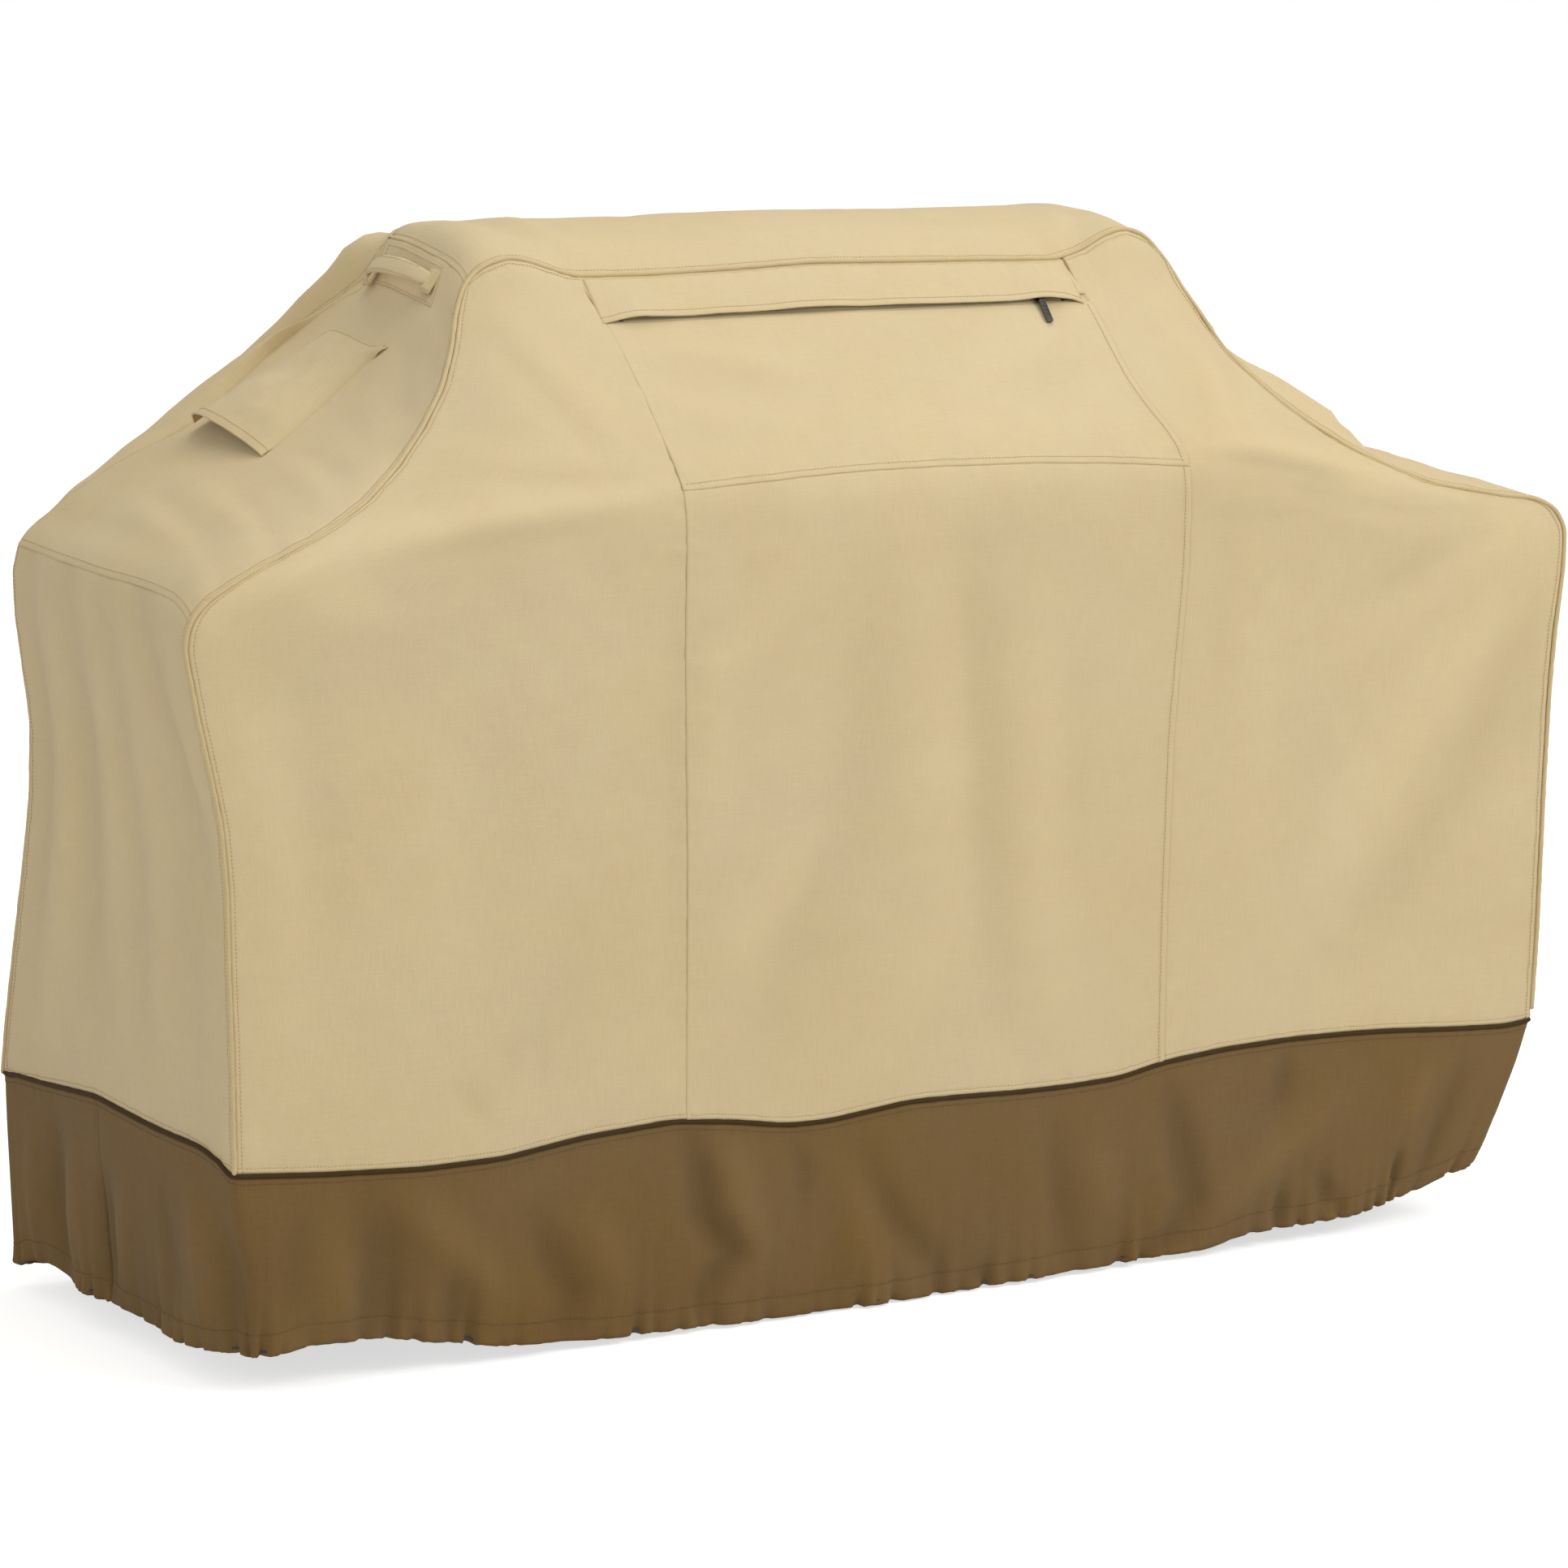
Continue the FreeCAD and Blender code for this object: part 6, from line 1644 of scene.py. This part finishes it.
# ================================================================== pocket bag behind the zip
def pocket_bag():
    """Bag of U-shaped section: down behind the front, round the bottom, up to the zip."""
    low, high = (np.array(corner) * 1000 - (0, Y_SHIFT, 0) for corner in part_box("pocket_bag"))
    fall_y, fall_z = 22, 92
    radius = 7
    x = np.linspace(low[0] + 2, high[0] - 2, 90)
    front_edge, rear_edge = (zip_point(0, up, -6.5)[1:] for up in (-14, 10.5))
    down = [front_edge + (fall_y * part, -fall_z * part) for part in np.linspace(0, 1, 12)]
    foot = down[-1]
    bend = [foot + (radius * (1 - math.cos(angle)), -radius * math.sin(angle))
            for angle in np.linspace(0, np.pi, 7)[1:-1]]
    rear = foot + (2 * radius, 0)
    rise = [rear + (rear_edge - rear) * (part ** 1.2, part) for part in np.linspace(0, 1, 12)]
    profile = np.array(down + bend + rise)
    grid = np.stack(np.broadcast_arrays(x[None], profile[:, :1], profile[:, 1:]), -1)
    slack = np.sin(np.pi * np.linspace(0, 1, len(profile)))[:, None]
    grid[..., 1] += slack * 2.2 * lumps(grid, 95, 60, 200)
    grid[..., 2] += slack * (2.0 * waves(x, 96, 80, 260))[None]
    for axis in (1, 2):
        grid[..., axis] = np.clip(grid[..., axis], low[axis] + 1.5, high[axis] - 0.5)
    sheet("pocket_bag_cloth", grid, 0.8, "lining", ("pocket_bag",), centre=(0, -60, 1090))


pocket_bag()


# ================================================================== hooded vents
def on_slope(side, across, up):
    """Points and normals of a slope at fractions across and up."""
    place_i = np.clip(np.interp(up, slope_up, np.arange(len(slope_up))),
                      0, len(slope_up) - 1.0001)
    place_j = np.clip(np.interp(across, slope_across, np.arange(len(slope_across))),
                      0, len(slope_across) - 1.0001)
    i, j = place_i.astype(int), place_j.astype(int)
    di, dj = (place_i - i)[..., None], (place_j - j)[..., None]
    points, normals = ((1 - di) * (1 - dj) * array[i, j] + (1 - di) * dj * array[i, j + 1]
                       + di * (1 - dj) * array[i + 1, j] + di * dj * array[i + 1, j + 1]
                       for array in slopes[side])
    return points, normals / (np.linalg.norm(normals, axis=-1, keepdims=True) + 1e-9)


def below(points, normals):
    """A centre well inside the cover, under a patch of the slope."""
    return points.mean((0, 1)) - normals.mean((0, 1)) * 200


VENT_FRONT, VENT_REAR = 0.478, 0.835      # fractions across the slope
VENT_LOW, VENT_HEIGHT = 0.408, 0.352      # fractions up the slope
# shift of the mouth's front and rear corner; net: start, width and narrowing, all across
VENTS = {LEFT: dict(shifts=(0.052, 0.100), net=(0.50, 0.40, 0.05)),
         RIGHT: dict(shifts=(0.0, 0.0), net=(0.478, 0.35, 0.0))}
# part from front to rear, and how far the lip stands off the slope
LIP_LIFT = table("""0 1.5, .1 6.5, .26 13.5, .45 20, .60 25, .74 26, .86 23, .94 20, 1.0 15""")


def vent(side):
    name = WORDS[side] + "_vent"
    front_shift, rear_shift_ = VENTS[side]["shifts"]
    columns = np.r_[0, 0.012, 0.03, np.linspace(0.06, 0.94, 34), 0.97, 0.988, 1.0]
    rows = np.r_[0, 0.01, 0.025, np.linspace(0.05, 0.95, 36), 0.98, 1.0]
    # rear runs from front to rear, up from the mouth to the top
    rear, up = np.meshgrid(columns, rows)
    start = VENT_FRONT + front_shift * (1 - up)
    end = VENT_REAR + rear_shift_ * (1 - up) ** 1.3
    # the top front corner is drawn out to a point
    point = fade(rear, 0.16) * fade(1 - up, 0.12)
    slope_u = start + (end - start) * rear - 0.050 * point
    slope_v = VENT_LOW + VENT_HEIGHT * up + 0.004 * np.sin(np.pi * rear) + 0.012 * point
    base, normals = on_slope(side, slope_u, slope_v)
    lift = np.interp(rear, *LIP_LIFT.T)
    arch = np.sin(np.pi * rear)
    height = 2.0 + lift * (1 - up) ** 1.25 + 12.0 * arch ** 0.7 * np.sin(np.pi * up) ** 0.8
    height += 6.0 * bell(rear - 0.02, 0.10) * bell(up - 0.97, 0.055)
    uneven = 1.3 * lumps(base, 101, 35, 110) + 0.8 * lumps(base, 108, 14, 40)
    height += uneven * arch * ease(0, 0.15, up) * (1 - ease(0.85, 1, up))
    # the free corner at the rear curls down
    height -= 5.0 * bell(rear - 1.0, 0.05) * bell(up, 0.06)
    # sewn edges go down to the slope; 150 and 190 are the hood's nominal width and height
    height -= (2.4 + 0.06 * lift) * bell(rear * 150, 3.5) * ease(0.03, 0.12, up)
    height -= 2.4 * bell((1 - up) * 190, 3.5)
    from_rear = (1 - rear) * 130.0 + 9.0 * (1 - up) ** 4 + 1.5
    height *= (1 - fade(from_rear, 6.0)) * 0.92 + 0.08
    gap = np.minimum(np.minimum(rear * 150, (1 - rear) * 150), (1 - up) * 190)
    height += -1.6 * bell(gap, 4.0) + 0.5 * bell(gap - 6.5, 2.5)
    # the lip leans a little down the slope
    down = on_slope(side, slope_u, slope_v - 0.02)[0] - base
    down /= np.linalg.norm(down, axis=-1, keepdims=True)
    hood = base + normals * height[..., None]
    hood = hood + down * (5.0 * lift / 26.0 * (1 - up) ** 3)[..., None]
    centre = below(base, normals)
    facing = outward(hood, centre)
    hood_normals = facing[0]
    # painted shade in edge: a little along the sewn edges outside, and 0.4 over the whole inside
    sheet(name + "_hood_cloth", hood, 1.2, nodes=(name + "_hood",), facing=facing,
          fold_shade_and_tone=(np.clip(0.3 * lumps(base, 102, 60, 160), -1, 1), 0.0),
          edge=(0.2 * bell(gap, 3.0), 0.4))
    build(name + "_lip", tube(hood[0] - hood_normals[0] * 0.6, 1.5, sides=8, wobble=0.12,
                              seed=13), "tan_canvas")
    sew(inset(hood, "v0", 9.0), hood_normals[3], 103)
    for edge, edge_normals in (("v1", hood_normals[-3]), ("u1", hood_normals[:, -3])):
        sew(inset(hood, edge, 7.5)[2:-2], edge_normals[2:-2], 104)
    # net over the opening, just proud of the slope
    rear, up = np.meshgrid(np.linspace(0.10, 0.90, 40), np.linspace(0.10, 0.80, 30))
    start, width, narrowing = VENTS[side]["net"]
    base, normals = on_slope(side, start + width * rear - narrowing * rear * up,
                             VENT_LOW + 0.345 * up)
    net = base + normals * (2.6 + 0.4 * lumps(base, 105, 30, 90))[..., None]
    sheet(name + "_mesh_net", net, 0.5, "mesh", (name + "_mesh",), centre=centre)
    # stay rod inside the lip
    held = (columns > 0.12) & (columns < 0.9)
    build(name + "_stay_rod", tube(hood[2, held] - hood_normals[2, held] * 2.9, 1.4, sides=8),
          "black_plastic", (name + "_stay",))


vent(LEFT)
vent(RIGHT)

# ================================================================== handles
HANDLE_X, HANDLE_Y, HANDLE_Z = 472, 58.0, 1170.0
HANDLE_RUN, HANDLE_DROP = 36, 47          # the slope under the handles
STRAP_HALF = 74.0
STRAP_OFF = 3.4 + 2.6                     # height of the strap's ends above the base point
TAB_INNER, TAB_OUTER = 64.0, 82.0         # reach of the tabs in y from the handle's middle
TAB_HALF = 16.5


def handle_point(frame_, y, down, off):
    """Point in a handle's frame (base, down the slope, off it), measured from its middle."""
    base, down_axis, off_axis = frame_
    y, down, off = (array[..., None] for array in np.broadcast_arrays(y, down, off))
    return base + y * np.array([0, 1, 0]) + down * down_axis + off * off_axis


def handle_strap(name, frame_):
    """Folded strap, bowed off the slope and narrowed at its ends."""
    off_axis = frame_[2]
    y = np.linspace(-STRAP_HALF, STRAP_HALF, 46)
    part = y / STRAP_HALF
    bow = 22.0 * (1 - part ** 2) ** 0.85 * (1 - 0.12 * part ** 2)
    half_width = (12.0 - 0.6 * np.cos(np.pi * part / 2) + 0.25 * np.sin(y / 6.0)
                  - 5.5 * np.abs(part) ** 3)
    half_thick = 2.1 + 1.4 * (1 - part ** 2)
    angle = np.linspace(0, 2 * np.pi, 21)[:-1]
    cosine, sine = np.cos(angle), np.sin(angle)
    down = half_width[:, None] * (np.sign(cosine) * np.abs(cosine) ** 0.45)[None]
    off = half_thick[:, None] * (np.sign(sine) * np.abs(sine) ** 0.9)[None]
    off = off + 0.06 * np.sin(y / 30.0)[:, None] * down
    rings = handle_point(frame_, y[:, None], down, STRAP_OFF + bow[:, None] + off)
    count, sides = rings.shape[:2]
    points = rings.reshape(-1, 3)
    quads = grid_quads(count, sides, closed=True)
    if inside_out(points, quads[0], points[quads[0, 0]] - rings[0].mean(0)):
        quads = quads[:, ::-1]
    uv = np.stack(np.broadcast_arrays(y[:, None], (np.arange(sides) * 2.8)[None]), -1)
    uv = np.concatenate([uv.reshape(-1, 2), np.zeros((2, 2))])
    points = np.concatenate([points, [rings[0].mean(0), rings[-1].mean(0)]])
    triangles = cap_triangles(count, sides)
    if inside_out(points, triangles[0], (0, -1, 0)):
        triangles = triangles[:, ::-1]
    build(name + "_strap", (points, quads, uv, triangles), "tan_canvas",
          (name + "_grip", name + "_pad"), body=name)
    for word, down in (("high", -8.2), ("low", 8.2)):
        line = handle_point(frame_, y, down, STRAP_OFF + bow + half_thick * 0.93)[5:-5]
        build(name + "_stitching_" + word,
              stitches(line, np.repeat(off_axis[None], len(line), 0), 111),
              "tan_thread", body=name)


def handle_tabs(name, frame_):
    """Webbing sewn flat at both ends of the strap, raised over it on the inner side."""
    base, _, off_axis = frame_
    down = np.linspace(-TAB_HALF, TAB_HALF, 19)[None]
    over_strap = 1 - ease(12.5, 15.5, np.abs(down))
    tabs = []
    for low, high in ((-TAB_OUTER, -TAB_INNER), (TAB_INNER, TAB_OUTER)):
        y = np.linspace(low, high, 9)[:, None]
        inner = 1 - (np.abs(y) - TAB_INNER) / (TAB_OUTER - TAB_INNER)
        grid = handle_point(frame_, y, down, 2.3 + 6.4 * over_strap * ease(0.05, 0.55, inner))
        tabs.append(shell(grid, 1.2, base - off_axis * 100))
        for row in (-13.8, 13.8):
            sew(handle_point(frame_, np.linspace(low + 1.5, high - 1.5, 12), row, 2.6),
                off_axis, 112)
    build(name + "_tabs_sewn", join(tabs), "tan_webbing", (name + "_tabs",))


def handle_patch(name, side):
    """Patch lying on the slope under the handle."""
    across, up = np.meshgrid(np.r_[0, 0.01, 0.03, np.linspace(0.06, 0.94, 26), 0.97, 0.99, 1],
                             np.r_[0, 0.03, 0.08, np.linspace(0.15, 0.85, 12), 0.92, 0.97, 1])
    base, normals = on_slope(side, 0.30 + 0.655 * across, 0.893 + 0.094 * up)
    # distance from the edge of a nominal 170 by 60 patch
    gap = np.minimum(np.minimum(across, 1 - across) * 170, np.minimum(up, 1 - up) * 60)
    height = (0.35 + 0.85 * ease(0, 1.6, gap) - 0.35 * bell(gap - 4.0, 1.0)
              + 0.25 * lumps(base, 113, 25, 70) * ease(2, 8, gap))
    grid = base + normals * height[..., None]
    shade = bell(gap, 1.6)
    sheet(name + "_patch_sewn", grid, 0.9, nodes=(name + "_patch",),
          centre=below(base, normals), edge=(shade, shade))
    for edge in EDGES:
        sew(inset(grid, edge, 4.0)[1:-1], normals.mean((0, 1)), 114)


for side, word in WORDS.items():
    slope_length = math.hypot(HANDLE_RUN, HANDLE_DROP)
    handle_frame = (np.array([side * HANDLE_X, HANDLE_Y, HANDLE_Z]),
                    np.array([side * HANDLE_RUN, 0, -HANDLE_DROP]) / slope_length,
                    np.array([side * HANDLE_DROP, 0, HANDLE_RUN]) / slope_length)
    handle_strap(word + "_handle", handle_frame)
    handle_tabs(word + "_handle", handle_frame)
    handle_patch(word + "_handle", side)

# ================================================================== sewing thread
for colour, rows in threads.items():
    build("seam_stitching_" + colour, join(rows), colour + "_thread")

# ================================================================== fittings kept as modelled
FITTING_MATERIALS = {
    "zip_slider": "zip_metal", "zip_pull": "pull_rubber", "zip_stops": "zip_metal",
    "cord_lock_body": "black_plastic", "cord_lock_button": "black_plastic",
    "cord_eyelets": "brass_metal", "cord_end_clip": "black_plastic"}
for name, material in FITTING_MATERIALS.items():
    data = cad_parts[name].data
    data.materials.clear()
    data.materials.append(MATERIALS[material])


# ================================================================== floor, light and camera
def studio_floor():
    """Large white floor that glows a little to the camera only."""
    half, z = 40.0, -0.0006
    data = bpy.data.meshes.new("studio_floor")
    data.from_pydata([(-half, -half, z), (half, -half, z), (half, half, z), (-half, half, z)],
                     [], [(0, 1, 2, 3)])
    floor = bpy.data.objects.new("studio_floor", data)
    bpy.context.scene.collection.objects.link(floor)
    white = (0.80, 0.80, 0.80)
    shader = Shader("studio_white")
    cloud = shader.noise(shader.coord("Object"), scale=1.3, detail=3.0)
    shader.set(Base_Color=shader.mix(cloud, scaled(white, 0.995), white), Roughness=0.9,
               Specular_IOR_Level=0.1, Emission_Color=(1, 1, 1))
    camera_ray = shader.node("ShaderNodeLightPath").outputs["Is Camera Ray"]
    shader.set(Emission_Strength=shader.math("MULTIPLY", camera_ray, 0.66))
    data.materials.append(MATERIALS["studio_white"])


def studio_world():
    """Soft warm light on the cover, plain white to the camera."""
    world = bpy.data.worlds.new("studio")
    bpy.context.scene.world = world
    world.use_nodes = True
    tree = world.node_tree
    tree.nodes.clear()
    output = tree.nodes.new("ShaderNodeOutputWorld")
    lighting = tree.nodes.new("ShaderNodeBackground")
    seen = tree.nodes.new("ShaderNodeBackground")
    mixer = tree.nodes.new("ShaderNodeMixShader")
    light_path = tree.nodes.new("ShaderNodeLightPath")
    for background, colour, strength in ((lighting, (1.0, 0.985, 0.96, 1), 0.47),
                                         (seen, (1, 1, 1, 1), 1.0)):
        background.inputs["Color"].default_value = colour
        background.inputs["Strength"].default_value = strength
    tree.links.new(light_path.outputs["Is Camera Ray"], mixer.inputs[0])
    tree.links.new(lighting.outputs[0], mixer.inputs[1])
    tree.links.new(seen.outputs[0], mixer.inputs[2])
    tree.links.new(mixer.outputs[0], output.inputs[0])


def area_light(name, location, target, size, power, colour):
    light = bpy.data.lights.new(name, "AREA")
    light.shape = "SQUARE"
    light.size = size
    light.energy = power
    light.color = colour
    lamp = bpy.data.objects.new(name, light)
    lamp.location = location
    direction = Vector(target) - Vector(location)
    lamp.rotation_euler = direction.to_track_quat("-Z", "Y").to_euler()
    bpy.context.scene.collection.objects.link(lamp)


def studio_camera():
    data = bpy.data.cameras.new("camera")
    data.sensor_width = 36.0
    data.lens = 132.2266025
    data.clip_end = 100.0
    camera = bpy.data.objects.new("camera", data)
    yaw = math.radians(30.958108)         # turned right from +y
    pitch = math.radians(9.126313)        # tilted down
    forward = Vector((math.sin(yaw) * math.cos(pitch), math.cos(yaw) * math.cos(pitch),
                      -math.sin(pitch)))
    right = Vector((math.cos(yaw), -math.sin(yaw), 0))
    matrix = Matrix((right, right.cross(forward), -forward)).transposed().to_4x4()
    matrix.translation = Vector((-3.449642, -5.7587449, 1.637407))
    camera.matrix_world = matrix
    bpy.context.scene.collection.objects.link(camera)
    bpy.context.scene.camera = camera


studio_floor()
studio_world()
area_light("key", location=(3.4, -4.6, 4.2), target=(0, 0, 0.6), size=2.6, power=158,
           colour=(1.0, 0.985, 0.96))
area_light("top", location=(0.4, -0.5, 5.0), target=(0, 0, 0.9), size=3.5, power=66,
           colour=(1.0, 0.99, 0.97))
area_light("fill", location=(-5.5, -2.5, 2.2), target=(0, 0, 0.6), size=4.0, power=52,
           colour=(1.0, 0.98, 0.95))
studio_camera()
bpy.context.scene.view_settings.view_transform = "Standard"
